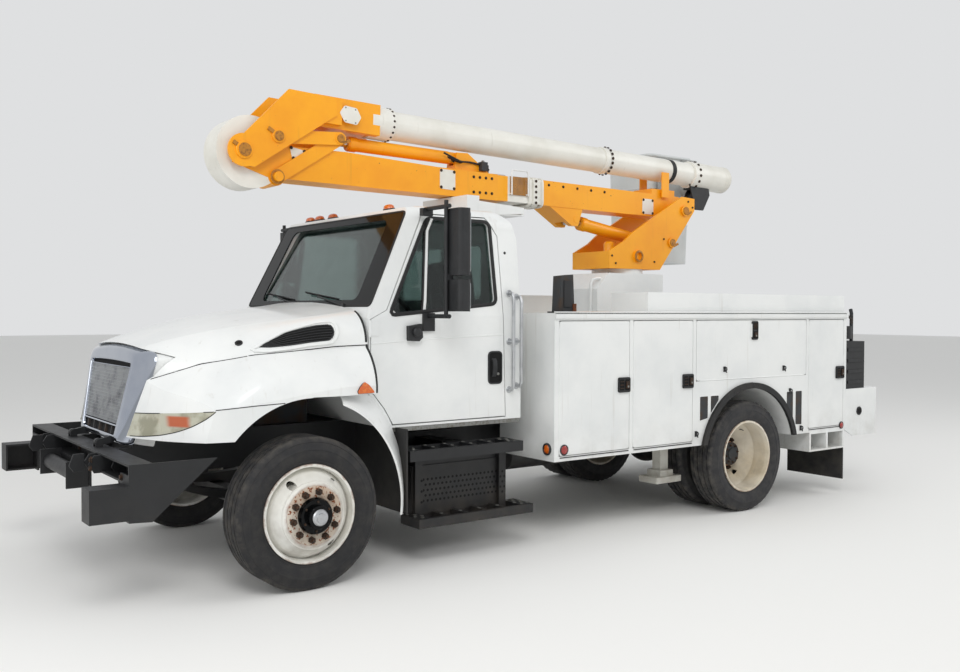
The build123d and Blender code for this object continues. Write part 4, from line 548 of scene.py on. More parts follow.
class Mesher:
    """Gathers closed parts into one object. Every length is in metres, in the truck's own frame."""

    def __init__(self, name: str, body: str, bevel: float = 0.0, angle: float = 32.0) -> None:
        """Start an empty piece.

        Args:
            name: The object's name.
            body: The CAD body that it rides on.
            bevel: Width of the rounding on sharp edges, or 0.
            angle: Edges sharper than this many degrees stay sharp in the shading.
        """
        self.name, self.body, self.bevel, self.angle = name, body, bevel, angle
        self.mesh = bmesh.new()
        self.finishes: list[Finish] = []

    def add(self, points: Sequence[Point], faces: Sequence[Sequence[int]], finish: Finish) -> None:
        """Add one closed part.

        Args:
            points: Its points.
            faces: Point numbers of each face.
            finish: Its finish.
        """
        if finish not in self.finishes:
            self.finishes.append(finish)
        verts = [self.mesh.verts.new(p) for p in points]
        for face in faces:
            self.mesh.faces.new([verts[i] for i in face]).material_index = self.finishes.index(finish)

    def loops(self, rings: Sequence[Sequence[Point]], finish: Finish, closed: bool = False) -> None:
        """Skin a row of equal rings.

        Args:
            rings: Outlines of equal count.
            finish: The finish.
            closed: Whether the row closes on itself; where it doesn't, both ends get a cap.
        """
        size, count = len(rings[0]), len(rings)
        faces = []
        for i in range(count if closed else count - 1):
            a, b = i * size, ((i + 1) % count) * size
            faces += [(a + k, a + (k + 1) % size, b + (k + 1) % size, b + k) for k in range(size)]
        if not closed:
            faces += [tuple(range(size)), tuple(range((count - 1) * size, count * size))]
        self.add([p for ring in rings for p in ring], faces, finish)

    def prism(self, outline: Sequence[Point], depth: Point, finish: Finish) -> None:
        """Push a flat outline along a vector."""
        start = [Vector(p) for p in outline]
        self.loops([start, [p + Vector(depth) for p in start]], finish)

    def box(self, centre: Point, size: Point, finish: Finish, turn: Matrix | None = None) -> None:
        """A box by its centre and size, turned about its centre."""
        half, turn = Vector(size) / 2, turn or Matrix.Identity(3)
        self.loops([[Vector(centre) + turn @ Vector((a * half.x, b * half.y, c * half.z))
                     for a, b in ((-1, -1), (1, -1), (1, 1), (-1, 1))] for c in (-1, 1)], finish)

    @staticmethod
    def neighbours(points: Sequence[Vector], i: int, closed: bool) -> tuple[Vector, Vector]:
        """The points before and after one point of a path; at an open end, that point itself."""
        last = len(points) - 1
        return (points[i - 1] if closed or i else points[i],
                points[(i + 1) % (last + 1)] if closed or i < last else points[i])

    def sweep(self, path: Sequence[Point], section: Flat, finish: Finish, up: Point | Sequence[Point] = UP,
              closed: bool = False) -> None:
        """Carry a section along a path.

        Args:
            path: The path's points.
            section: (across, up) offsets of the section's outline.
            finish: The finish.
            up: One up direction, or one for each point of the path.
            closed: Whether the path closes on itself.
        """
        points = [Vector(p) for p in path]
        ups = [Vector(up)] * len(points) if isinstance(up[0], (int, float)) else [Vector(u) for u in up]
        rings = []
        for i, point in enumerate(points):
            before, after = self.neighbours(points, i, closed)
            along = (after - before).normalized()
            across = along.cross(ups[i]).normalized()
            high = across.cross(along)
            rings.append([point + across * a + high * b for a, b in section])
        self.loops(rings, finish, closed)

    def tube(self, path: Sequence[Point], radius: float, finish: Finish, steps: int = 10,
             closed: bool = False) -> None:
        """A round bar along a path, with its frame carried along so that it never twists.

        Args:
            path: Its middle line.
            radius: Its radius.
            finish: The finish.
            steps: Corners of its section.
            closed: Whether the path closes on itself.
        """
        points = [Vector(p) for p in path]
        ups: list[Vector] = []
        for i in range(len(points)):
            before, after = self.neighbours(points, i, closed)
            tangent = (after - before).normalized()
            up = ups[-1] if ups else tangent.orthogonal().normalized()
            ups.append((up - tangent * up.dot(tangent)).normalized())
        self.sweep(points, circle(radius, steps), finish, ups, closed)

    def lathe(self, profile: Flat, centre: Point, axis: Point, finish: Finish, steps: int = 48,
              shape: Callable[[int, int, float], float] | None = None) -> None:
        """Turn a closed (radius, along) profile about an axis.

        Args:
            profile: Points of the profile; where it starts and ends on the axis it makes a solid of revolution.
            centre: A point on the axis.
            axis: The axis direction.
            finish: The finish.
            steps: How many stations round the axis.
            shape: Optional change of radius by station, profile point and radius.
        """
        line = Vector(axis).normalized()
        one = line.orthogonal().normalized()
        two = line.cross(one)
        solid = profile[0][0] < 1e-6 and profile[-1][0] < 1e-6
        body = list(profile[1:-1]) if solid else list(profile)
        points, faces = [], []
        size = len(body)
        for i in range(steps):
            turn = math.tau * i / steps
            out = one * math.cos(turn) + two * math.sin(turn)
            for k, (radius, along) in enumerate(body):
                points.append(Vector(centre) + out * (shape(i, k, radius) if shape else radius) + line * along)
            a, b = i * size, ((i + 1) % steps) * size
            faces += [(a + k, b + k, b + k + 1, a + k + 1) for k in range(size - 1)]
            if not solid:
                faces.append((a + size - 1, b + size - 1, b, a))
        if solid:
            for along, row in ((profile[0][1], 0), (profile[-1][1], size - 1)):
                points.append(Vector(centre) + line * along)
                tip = len(points) - 1
                faces += [(tip, i * size + row, ((i + 1) % steps) * size + row) for i in range(steps)]
        self.add(points, faces, finish)

    def disc(self, centre: Point, axis: Point, radius: float, height: float, finish: Finish,
             steps: int = 24, dome: float = 0.0) -> None:
        """A short round part with a small chamfer.

        Args:
            centre: Middle of its foot.
            axis: The way it faces.
            radius: Its radius.
            height: Its height at the edge.
            finish: The finish.
            steps: Stations round it.
            dome: How much higher its middle is.
        """
        edge = min(height * 0.3, radius * 0.2, 0.003)
        profile = [(0, 0), (radius, 0), (radius, height - edge), (radius - edge, height)]
        if dome:
            profile += [(radius * 0.8, height + dome * 0.36), (radius * 0.5, height + dome * 0.75)]
        profile.append((0, height + dome))
        self.lathe(profile, centre, axis, finish, steps)

    def lamp(self, centre: Point, axis: Point, bezel: Point, lens: Point, finishes: Sequence[Finish],
             steps: int = 32) -> None:
        """A round lamp: a ridged ring with a domed lens in it.

        Args:
            centre: Its foot on the panel.
            axis: The way it faces.
            bezel: Outer, ridge and inner radius of the ring, then the heights of its sides and ridge.
            lens: Radius, height and dome of the lens.
            finishes: Finish of the ring and of the lens.
            steps: Stations round it.
        """
        outer, middle, inner, side, ridge = bezel
        self.lathe([(outer, -0.002), (outer, side), (middle, ridge), (inner, side), (inner, -0.002)], centre, axis,
                   finishes[0], steps)
        foot = Vector(centre) - Vector(axis) * 0.001
        self.disc(foot, axis, lens[0], lens[1], finishes[1], steps, dome=lens[2])

    def strip(self, surface: Surface, outline: Flat, side: int, finish: Finish, width: float, rise: float,
              closed: bool = False, step: float = 0.03) -> None:
        """Lay a narrow band on a side surface along (x, z) points.

        Args:
            surface: The CAD surface.
            outline: The line's (x, z) points.
            side: 1 for the left, -1 for the right.
            finish: The finish.
            width: The band's width.
            rise: How far it stands out.
            closed: Whether the line closes on itself.
            step: Spacing of the points along it.
        """
        points = resample([(x, 0, z) for x, z in outline], step, closed)
        found = [hit for hit in (surface.from_side(side, point.x, point.z) for point in points) if hit]
        if len(found) > 1:
            half, sink = width / 2, -0.002
            section = [(-half, sink), (half, sink), (half, rise * 0.6), (half * 0.7, rise), (-half * 0.7, rise),
                       (-half, rise * 0.6)]
            self.sweep([place for place, _ in found], section, finish, [normal for _, normal in found], closed)

    def patch(self, surface: Surface, outline: Flat, side: int, finish: Finish, rise: float,
              cuts: int = 4) -> None:
        """Lay a thin plate of any outline on a side surface, following its curve.

        Args:
            surface: The CAD surface.
            outline: The plate's (x, z) corners.
            side: 1 for the left, -1 for the right.
            finish: The finish.
            rise: How far it stands out.
            cuts: Cuts in each edge, so that it can follow the curve.
        """
        flat = bmesh.new()
        flat.faces.new([flat.verts.new((x, 0, z)) for x, z in outline])
        bmesh.ops.triangulate(flat, faces=flat.faces)
        bmesh.ops.subdivide_edges(flat, edges=flat.edges, cuts=cuts, use_grid_fill=True)
        flat.verts.index_update()
        top, low = [], []
        for vert in flat.verts:
            found = surface.from_side(side, vert.co.x, vert.co.z)
            place, normal = found or (Vector((vert.co.x, side * 0.9, vert.co.z)), Vector((0, side, 0)))
            top.append(place + normal * rise)
            low.append(place - normal * 0.003)
        count = len(top)
        faces = [tuple(v.index for v in f.verts) for f in flat.faces]
        rim = [tuple(v.index for v in e.verts) for e in flat.edges if len(e.link_faces) == 1]
        faces += [tuple(i + count for i in reversed(f)) for f in faces]
        faces += [(a, b, b + count, a + count) for a, b in rim]
        flat.free()
        self.add(top + low, faces, finish)

    def build(self, ride: bool = True) -> Piece:
        """Close the piece: normals outwards, shading by angle, materials, and its body.

        Args:
            ride: Whether it rides on its body; a small piece for Copies doesn't.

        Returns:
            The piece.
        """
        bmesh.ops.recalc_face_normals(self.mesh, faces=self.mesh.faces)
        data = bpy.data.meshes.new(self.name)
        self.mesh.to_mesh(data)
        self.mesh.free()
        for finish in self.finishes:
            data.materials.append(finish.material())
        data.shade_smooth()
        data.set_sharp_from_angle(angle=math.radians(self.angle))
        made = put(self.name, data)
        if self.bevel:
            bevel = made.modifiers.new("Bevel", "BEVEL")
            bevel.width, bevel.segments, bevel.limit_method = self.bevel, 2, "ANGLE"
            bevel.angle_limit = math.radians(40)
            bevel.harden_normals = True
        if ride:
            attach(made, self.body)
        return made


def new_tree(name: str, **sockets: str) -> tuple[Any, Any]:
    """Start a Geometry Nodes tree.

    Args:
        name: The tree's name.
        sockets: Name and type of each input besides the geometry.

    Returns:
        The tree and its input node.
    """
    tree = bpy.data.node_groups.new(name, "GeometryNodeTree")
    for label, kind in {"Geometry": "Geometry", **sockets}.items():
        tree.interface.new_socket(label, in_out="INPUT", socket_type="NodeSocket" + kind)
    tree.interface.new_socket("Geometry", in_out="OUTPUT", socket_type="NodeSocketGeometry")
    return tree, tree.nodes.new("NodeGroupInput")


def grow(name: str, body: str, cage: bpy.types.Mesh, tree: Any, last: Any, finish: Finish, **values: Any) -> Piece:
    """Close a Geometry Nodes tree, run it on a cage, and keep what it makes as one plain mesh.

    Args:
        name: The piece's name.
        body: The CAD body that it rides on.
        cage: The points or wires that the tree starts from.
        tree: The tree, all but its end.
        last: The node whose geometry is wanted.
        finish: The finish.
        values: Value of each of the tree's inputs.

    Returns:
        The piece.
    """
    real = add_node(tree, "GeometryNodeRealizeInstances", {"Geometry": last.outputs[0]})
    dressed = add_node(tree, "GeometryNodeSetMaterial", {"Geometry": real.outputs[0], "Material": finish.material()})
    add_node(tree, "NodeGroupOutput", {"Geometry": dressed.outputs[0]})
    holder = put(name + "_holder", cage)
    modifier = holder.modifiers.new("Nodes", "NODES")
    modifier.node_group = tree
    for item in tree.interface.items_tree:
        if item.in_out == "INPUT" and item.name in values:
            modifier[item.identifier] = values[item.name]
    data = bpy.data.meshes.new_from_object(holder.evaluated_get(bpy.context.evaluated_depsgraph_get()))
    data.name = name
    bpy.data.objects.remove(holder)
    made = put(name, data)
    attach(made, body)
    return made


class Copies:
    """Geometry Nodes that set one small piece at many places, each facing along its own aim."""

    def __init__(self, name: str, body: str, seed: int = 3) -> None:
        """Name the piece, the CAD body it rides on, and the seed of its random turns."""
        self.name, self.body, self.seed = name, body, seed
        self.places: list[tuple[Vector, Vector]] = []

    def at(self, place: Point, aim: Point) -> None:
        """Add one place."""
        self.places.append((Vector(place), Vector(aim).normalized()))

    def ring(self, centre: Point, axis: Point, radius: float, count: int, outward: bool = False,
             start: float = 0.0) -> None:
        """Add places round a circle.

        Args:
            centre: The circle's middle.
            axis: Its axis.
            radius: Its radius.
            count: How many places.
            outward: Whether they face outwards; where not, they face along the axis.
            start: Angle of the first one, in radians.
        """
        line = Vector(axis).normalized()
        one = line.orthogonal().normalized()
        two = line.cross(one)
        for k in range(count):
            turn = start + math.tau * k / count
            out = one * math.cos(turn) + two * math.sin(turn)
            self.at(Vector(centre) + out * radius, out if outward else line)

    def build(self, piece: Mesher, finish: Finish, turn: float = 0.0) -> Piece:
        """Make the copies as one plain mesh.

        Args:
            piece: The small piece, drawn at the origin and facing +Z.
            finish: The finish of every copy.
            turn: Largest random turn about its own aim, in radians.

        Returns:
            The finished object, riding on its body.
        """
        single = piece.build(ride=False)
        cage = bpy.data.meshes.new(self.name + "_places")
        cage.from_pydata([p for p, _ in self.places], [], [])
        aims = cage.attributes.new("aim", "FLOAT_VECTOR", "POINT")
        aims.data.foreach_set("vector", [c for _, a in self.places for c in a])
        tree, entry = new_tree(self.name + "_copies", Piece="Object", Turn="Float", Seed="Int")
        aim = add_node(tree, "GeometryNodeInputNamedAttribute", {"Name": "aim"}, data_type="FLOAT_VECTOR")
        facing = add_node(tree, "FunctionNodeAlignRotationToVector", {"Vector": aim.outputs[0]}, axis="Z")
        angle = add_node(tree, "FunctionNodeRandomValue",
                         {3: entry.outputs["Turn"], "Seed": entry.outputs["Seed"]}, data_type="FLOAT")
        spin = add_node(tree, "FunctionNodeAxisAngleToRotation", {"Axis": UP, "Angle": angle.outputs[1]})
        turned = add_node(tree, "FunctionNodeRotateRotation",
                          {"Rotation": facing.outputs[0], "Rotate By": spin.outputs[0]}, rotation_space="LOCAL")
        info = add_node(tree, "GeometryNodeObjectInfo", {"Object": entry.outputs["Piece"], "As Instance": True})
        points = add_node(tree, "GeometryNodeMeshToPoints", {"Mesh": entry.outputs["Geometry"]})
        copies = add_node(tree, "GeometryNodeInstanceOnPoints",
                          {"Points": points.outputs[0], "Instance": info.outputs["Geometry"],
                           "Rotation": turned.outputs[0]})
        made = grow(self.name, self.body, cage, tree, copies, finish, Piece=single, Turn=turn, Seed=self.seed)
        bpy.data.objects.remove(single)
        return made


def turned_piece(profile: Flat, finish: Finish, steps: int = 10) -> Mesher:
    """A small lathed piece facing +Z, ready for Copies.

    Args:
        profile: Its (radius, along) points.
        finish: The finish.
        steps: Stations round it.

    Returns:
        The piece.
    """
    piece = Mesher("small_piece", "chassis")
    piece.lathe(profile, ORIGIN, UP, finish, steps)
    return piece


def hex_bolt(size: float, height: float, washer: float = 0.0, stud: float = 0.0) -> Mesher:
    """A hex head facing +Z, with an optional washer under it and stud end above it.

    Args:
        size: Distance from the middle to a corner.
        height: Height of the head.
        washer: Radius of the washer.
        stud: Length of thread that stands out of the head.

    Returns:
        The piece, ready for Copies.
    """
    bolt = Mesher("bolt", "chassis")
    base = 0.0025 if washer else 0.0
    top = base + height
    if washer:
        bolt.lathe([(0, 0), (washer, 0), (washer, 0.003), (0, 0.003)], ORIGIN, UP, Look.STUD, 12)
    bolt.lathe([(0, base), (size, base), (size, base + height * 0.85), (size * 0.88, top), (0, top)], ORIGIN, UP,
               Look.STUD, 6)
    if stud:
        bolt.lathe([(0, top - 0.001), (size * 0.5, top - 0.001), (size * 0.5, top + stud - 0.002),
                    (size * 0.4, top + stud), (0, top + stud)], ORIGIN, UP, Look.STUD, 8)
    return bolt


class Side(Enum):
    """The truck's two sides; the value is the sign of Y."""

    LEFT = 1
    RIGHT = -1

    @property
    def word(self) -> str:
        """The word that ends this side's names."""
        return self.name.lower()


@dataclass
class Tyres:
    """Ribbed tyres lathed round one axle end, in place of the plain rings of the CAD."""

    axle_x: float
    centres: tuple[float, ...]
    node: str
    body: str
    finish: Finish
    tread_half: float = 0.106
    groove_depth: float = 0.011
    grooves: tuple[float, ...] = (-0.072, -0.026, 0.026, 0.072)
    groove_half: float = 0.0055
    lugs: bool = False
    steps: int = 144
    # (radius, half width) of the side wall, from the bead to the tread's edge.
    wall: Flat = ((0.2865, 0.1045), (0.3025, 0.1085), (0.3145, 0.1145), (0.3185, 0.1135), (0.3345, 0.1225),
                  (0.3605, 0.1265), (0.3805, 0.1275), (0.3835, 0.1295), (0.3885, 0.1295), (0.3915, 0.1275),
                  (0.4165, 0.1235), (0.428, 0.1195), (0.431, 0.1215), (0.450, 0.110), (0.458, 0.104),
                  (AXLE_Z, 0.096))

    def profile(self) -> list[tuple[float, float]]:
        """Draw the tyre's section.

        Returns:
            (radius, along) points, from bead to bead over the tread.
        """
        crown, floor, bead_radius = [], AXLE_Z - self.groove_depth, self.wall[0][0]
        for middle in self.grooves:
            low, high = middle - self.groove_half, middle + self.groove_half
            crown += [(AXLE_Z, low), (floor, low + 0.0015), (floor, high - 0.0015), (AXLE_Z, high)]
        inner = [(bead_radius, 0.0845), (bead_radius, -0.0845)]
        return [(r, -a) for r, a in self.wall] + crown + list(self.wall[::-1]) + inner

    def build(self) -> Piece:
        """Lathe every tyre of the axle end into one piece.

        Returns:
            The piece, in place of the CAD's tyres.
        """
        mesh = Mesher(self.node + "_rubber", self.body, angle=28)
        profile, shoulder = self.profile(), self.tread_half - 0.03

        def notch(station: int, point: int, radius: float) -> float:
            """Cut the two shoulder ribs at every third station."""
            rib = radius > AXLE_Z - 0.006 and abs(profile[point][1]) > shoulder
            return radius - 0.007 if self.lugs and rib and station % 3 == 0 else radius

        for y in self.centres:
            mesh.lathe(profile, (self.axle_x, y, AXLE_Z), (0, 1, 0), self.finish, self.steps, notch)
        made = mesh.build()
        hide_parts(self.node)
        return made


@dataclass
class WheelDress:
    """Nuts, rusty bolt ring, hub and valve of one wheel, laid on the CAD disc by ray."""

    side: Side
    axle_x: float
    node: str
    body: str
    nuts: int = 10
    circle_radius: float = 0.1428
    nut_size: float = 0.021
    nut_height: float = 0.028
    front: bool = True

    def face(self, surface: Surface, radius: float, turn: float) -> float:
        """Distance from the truck's middle to the disc at a radius and an angle."""
        x, z = self.axle_x + radius * math.cos(turn), AXLE_Z + radius * math.sin(turn)
        return surface.depth(self.side.value, x, z)

    def at(self, depth: float) -> Vector:
        """The axle line's point at a distance from the truck's middle."""
        return Vector((self.axle_x, self.side.value * depth, AXLE_Z))

    def build(self) -> list[Piece]:
        """Nuts by Geometry Nodes, then the hub parts as one piece.

        Returns:
            The nuts, the hub's bolts and the hub.
        """
        surface, out = Surface(self.node), self.side.value
        start, axis = 0.31, (0, out, 0)
        depth = self.face(surface, self.circle_radius, start)
        nuts = Copies(self.node + "_nuts", self.body, 5)
        nuts.ring(self.at(depth - 0.001), axis, self.circle_radius, self.nuts, start=start)
        made = [nuts.build(hex_bolt(self.nut_size, self.nut_height, 0.022, 0.016), Look.STUD, 1.0)]
        hub = Mesher(self.node + "_hub", self.body, angle=30)
        inner, cap = self.face(surface, 0.085, 0.4), self.face(surface, 0.03, 0.4)
        hub.lathe([(0.176, -0.002), (0.176, 0.0015), (0.168, 0.003), (0.112, 0.003), (0.108, 0.001),
                   (0.108, -0.002)], self.at(depth), axis, Look.RUSTY_ENAMEL, 56)
        if self.front:
            hub.lathe([(0, -0.01), (0.107, -0.01), (0.1095, depth - inner + 0.002), (0.1095, -0.012),
                       (0.102, 0.003), (0.070, 0.004), (0.066, 0.010), (0, 0.010)], self.at(inner), axis,
                      Look.FRIT, 48)
            hub.lathe([(0, -0.02), (0.050, -0.05), (0.050, 0.004), (0.044, 0.012), (0.030, 0.016), (0.028, 0.022),
                       (0, 0.024)], self.at(cap), axis, Look.ALUMINIUM, 40)
            rise = cap - inner
            hub.lathe([(0.0475, 0), (0.070, 0), (0.070, rise - 0.002), (0.066, rise + 0.002),
                       (0.0475, rise + 0.002)], self.at(inner), axis, Look.FRIT, 40)
            bolts = Copies(self.node + "_hub_bolts", self.body, 9)
            bolts.ring(self.at(inner + 0.003), axis, 0.086, 6, start=0.2)
            made.append(bolts.build(hex_bolt(0.008, 0.007), Look.STUD))
        else:
            hub.lathe([(0, 0), (0.098, 0), (0.098, 0.012), (0.088, 0.016), (0.052, 0.018), (0.048, 0.030),
                       (0, 0.032)], self.at(cap), axis, Look.IRON, 40)
            bolts = Copies(self.node + "_flange_nuts", self.body, 9)
            bolts.ring(self.at(cap + 0.013), axis, 0.074, 8, start=0.2)
            made.append(bolts.build(hex_bolt(0.0105, 0.012, 0.0, 0.010), Look.STUD))
        foot = self.at(self.face(surface, 0.243, 2.2) - 0.002)
        foot += Vector((0.243 * math.cos(2.2), 0, 0.243 * math.sin(2.2)))
        hub.tube([foot, foot + Vector((0, out * 0.02, 0)), foot + Vector((0.004, out * 0.045, -0.006))], 0.0045,
                 Look.ZINC, 8)
        made.append(hub.build())
        return made


@dataclass
class Grille:
    """Chrome surround with its mesh, brow gap, lower slot and hinge ears, in place of the CAD's plain block."""

    base: Point = (3.296, 0.0, 0.880)
    lean: float = 0.192
    row_pitch: float = 0.021
    column_pitch: float = 0.0115
    wire: float = 0.0021
    mesh_low: float = 0.106
    mesh_high: float = 0.452
    hole: Point = (0.351, 0.434, 0.036, 0.478)
    front: Point = (0.400, 0.490, 0.530)
    flare: Point = (0.105, 0.172, 0.028)
    depth: float = 0.082
    hinge: Point = (3.365, 0.300, 0.872)
    lip: Flat = ((0.0, 0.030), (0.0, 0.006), (0.003, 0.001), (0.007, -0.001), (0.012, 0.0))
    rim: Flat = ((-0.018, 0.0), (-0.006, 0.003), (0.001, 0.010), (0.006, 0.022), (0.010, 0.040), (0.008, 0.060),
                 (0.004, 0.075), (-0.001, 0.082), (-0.008, 0.084), (-0.030, 0.084))

    def place(self, y: float, up: float, out: float = 0.0) -> Vector:
        """A point by its distances in the grille's leaning plane.

        Args:
            y: Distance to the truck's left.
            up: Distance up the plane.
            out: Distance in front of the plane.

        Returns:
            The point.
        """
        size = math.hypot(1, self.lean)
        rise, normal = Vector((-self.lean, 0, 1)) / size, Vector((1, 0, self.lean)) / size
        return Vector(self.base) + rise * up + normal * out + Vector((0, y, 0))

    def ring(self, sizes: Sequence[float], rise: float, corner: float, back: float) -> list[Vector]:
        """One outline of the surround, with the same count of points whatever its sizes.

        Args:
            sizes: Half width below, half width above, and the heights of its bottom and its upper corners.
            rise: How much higher the middle of the top edge is.
            corner: Length that the rounding takes at an upper corner.
            back: Depth behind the grille's face.

        Returns:
            The outline's points, once round.
        """
        narrow, wide, low, high = sizes
        side = Vector((wide - narrow, high - low)).normalized()

        def top(y: float) -> Vector:
            """A point of the arched top edge."""
            return Vector((y, high + rise * (1 - (y / wide) ** 2)))

        foot, head = Vector((narrow, low)), Vector((wide, high))
        marks = [(Vector((narrow - 0.02, low)), foot, foot + side * 0.02),
                 (head - side * corner, head, top(wide - corner))]
        bends = [[a * (1 - k / 8) ** 2 + b * 2 * (k / 8) * (1 - k / 8) + c * (k / 8) ** 2 for k in range(9)]
                 for a, b, c in marks]
        arch = [top((wide - corner) * (1 - k / 8)) for k in range(1, 8)]
        half = bends[0] + [bends[0][-1].lerp(bends[1][0], k / 5) for k in range(1, 5)] + bends[1] + arch
        return [self.place(p.x, p.y, -back) for p in half] + [self.place(-p.x, p.y, -back) for p in reversed(half)]

    def opening(self, grow: float, back: float) -> list[Vector]:
        """The outline of the hole for mesh and slot, grown sideways at a depth."""
        narrow, wide, low, high = self.hole
        return self.ring((narrow + grow, wide + grow, low - grow, high + grow), 0.008, 0.022 + grow, back)

    def flank(self, grow: float, back: float, corner: float = 0.078) -> list[Vector]:
        """The surround's outer outline, grown sideways at a depth.

        Args:
            grow: How far it is grown.
            back: Depth behind the grille's face.
            corner: Length that the rounding takes at an upper corner.

        Returns:
            The outline's points.
        """
        share = min(1.0, max(0.0, back / self.depth))
        narrow, wide, high = (size + more * share + grow for size, more in zip(self.front, self.flare))
        return self.ring((narrow, wide, -grow, high), 0.042, corner, back)

    def half(self, up: float) -> float:
        """Half width of the hole at a height up the plane."""
        narrow, wide, low, high = self.hole
        return narrow + (wide - narrow) * (up - low) / (high - low)

    def build(self) -> list[Piece]:
        """The surround, the white return of the hood behind it, a dark sheet of painted shade inside, and the mesh.

        Returns:
            Those four pieces.
        """
        shell = Mesher("grille_surround", "hood_body", angle=38)
        shell.loops([self.opening(*row) for row in self.lip] + [self.flank(*row) for row in self.rim], Look.CHROME,
                    closed=True)
        for up, height in ((0.094, 0.009), (self.mesh_high + 0.003, 0.004)):
            bar = [self.place(s * (self.half(up) + 0.004), up + side * height / 2, -0.017)
                   for s, side in ((-1, -1), (1, -1), (1, 1), (-1, 1))]
            shell.prism(bar, self.place(0, 0, 0.013) - self.place(0, 0, 0), Look.CHROME)
        x, y, z = self.hinge
        for side in Side:
            ear = [(3.236, 0.884), (3.276, 0.910), (x - 0.012, z + 0.020), (x - 0.012, z - 0.018), (3.276, 0.866)]
            shell.prism([(px, side.value * y - 0.016, pz) for px, pz in ear], (0, 0.032, 0), Look.CHASSIS)
            shell.lathe([(0.0115, -0.016), (0.024, -0.016), (0.024, 0.016), (0.0115, 0.016)], (x, side.value * y, z),
                        (0, 1, 0), Look.CHASSIS, 24)
        surround = shell.build()
        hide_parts("grille")
        back = Mesher("hood_nose_return", "hood_body", angle=30)
        rows = ((-0.006, 0.081, 0.076), (-0.004, 0.120, 0.060), (-0.003, 0.160, 0.040), (-0.0025, 0.206, 0.022),
                (-0.010, 0.206, 0.022), (-0.014, 0.081, 0.076))
        back.loops([self.flank(*row) for row in rows], Look.BODY, closed=True)
        # A near-black sheet across the opening behind the mesh: painted shade of the grille's inside.
        dark = Mesher("grille_inside", "hood_body")
        dark.loops([self.opening(0.006, 0.029), self.opening(0.006, 0.024)], Look.JOINT_AND_SHADE)
        for y in (-0.26, -0.13, 0.0, 0.13, 0.26):
            dark.box(self.place(y, 0.062, -0.016), (0.016, 0.016, 0.050), Look.IRON,
                     Matrix.Rotation(-math.atan(self.lean), 3, "Y"))
        return [surround, back.build(), dark.build(), self.wires()]

    def wires(self) -> Piece:
        """Round wires along straight edges: curves from a wire cage, swept and made real.

        Returns:
            The mesh behind the surround.
        """
        points: list[Vector] = []
        for k in range(int((self.mesh_high - self.mesh_low) / self.row_pitch) + 1):
            up = self.mesh_low + k * self.row_pitch
            points += [self.place(side * self.half(up), up, -0.012) for side in (-1, 1)]
        half_low, half_high = self.half(self.mesh_low), self.half(self.mesh_high)
        columns = int(half_high / self.column_pitch)
        for k in range(-columns, columns + 1):
            y = k * self.column_pitch
            over = max(0.0, (abs(y) - half_low) / (half_high - half_low))
            low = self.mesh_low + over * (self.mesh_high - self.mesh_low)
            if low < self.mesh_high - 0.01:
                points += [self.place(y, low, -0.0145), self.place(y, self.mesh_high, -0.0145)]
        cage = bpy.data.meshes.new("grille_cage")
        cage.from_pydata(points, [(k, k + 1) for k in range(0, len(points), 2)], [])
        tree, entry = new_tree("grille_wires", **{"Wire Radius": "Float"})
        curves = add_node(tree, "GeometryNodeMeshToCurve", {"Mesh": entry.outputs["Geometry"]})
        ring = add_node(tree, "GeometryNodeCurvePrimitiveCircle",
                        {"Resolution": 6, "Radius": entry.outputs["Wire Radius"]})
        skin = add_node(tree, "GeometryNodeCurveToMesh",
                        {"Curve": curves.outputs[0], "Profile Curve": ring.outputs[0], "Fill Caps": True})
        return grow("grille_mesh", "hood_body", cage, tree, skin, Look.MESH, **{"Wire Radius": self.wire})


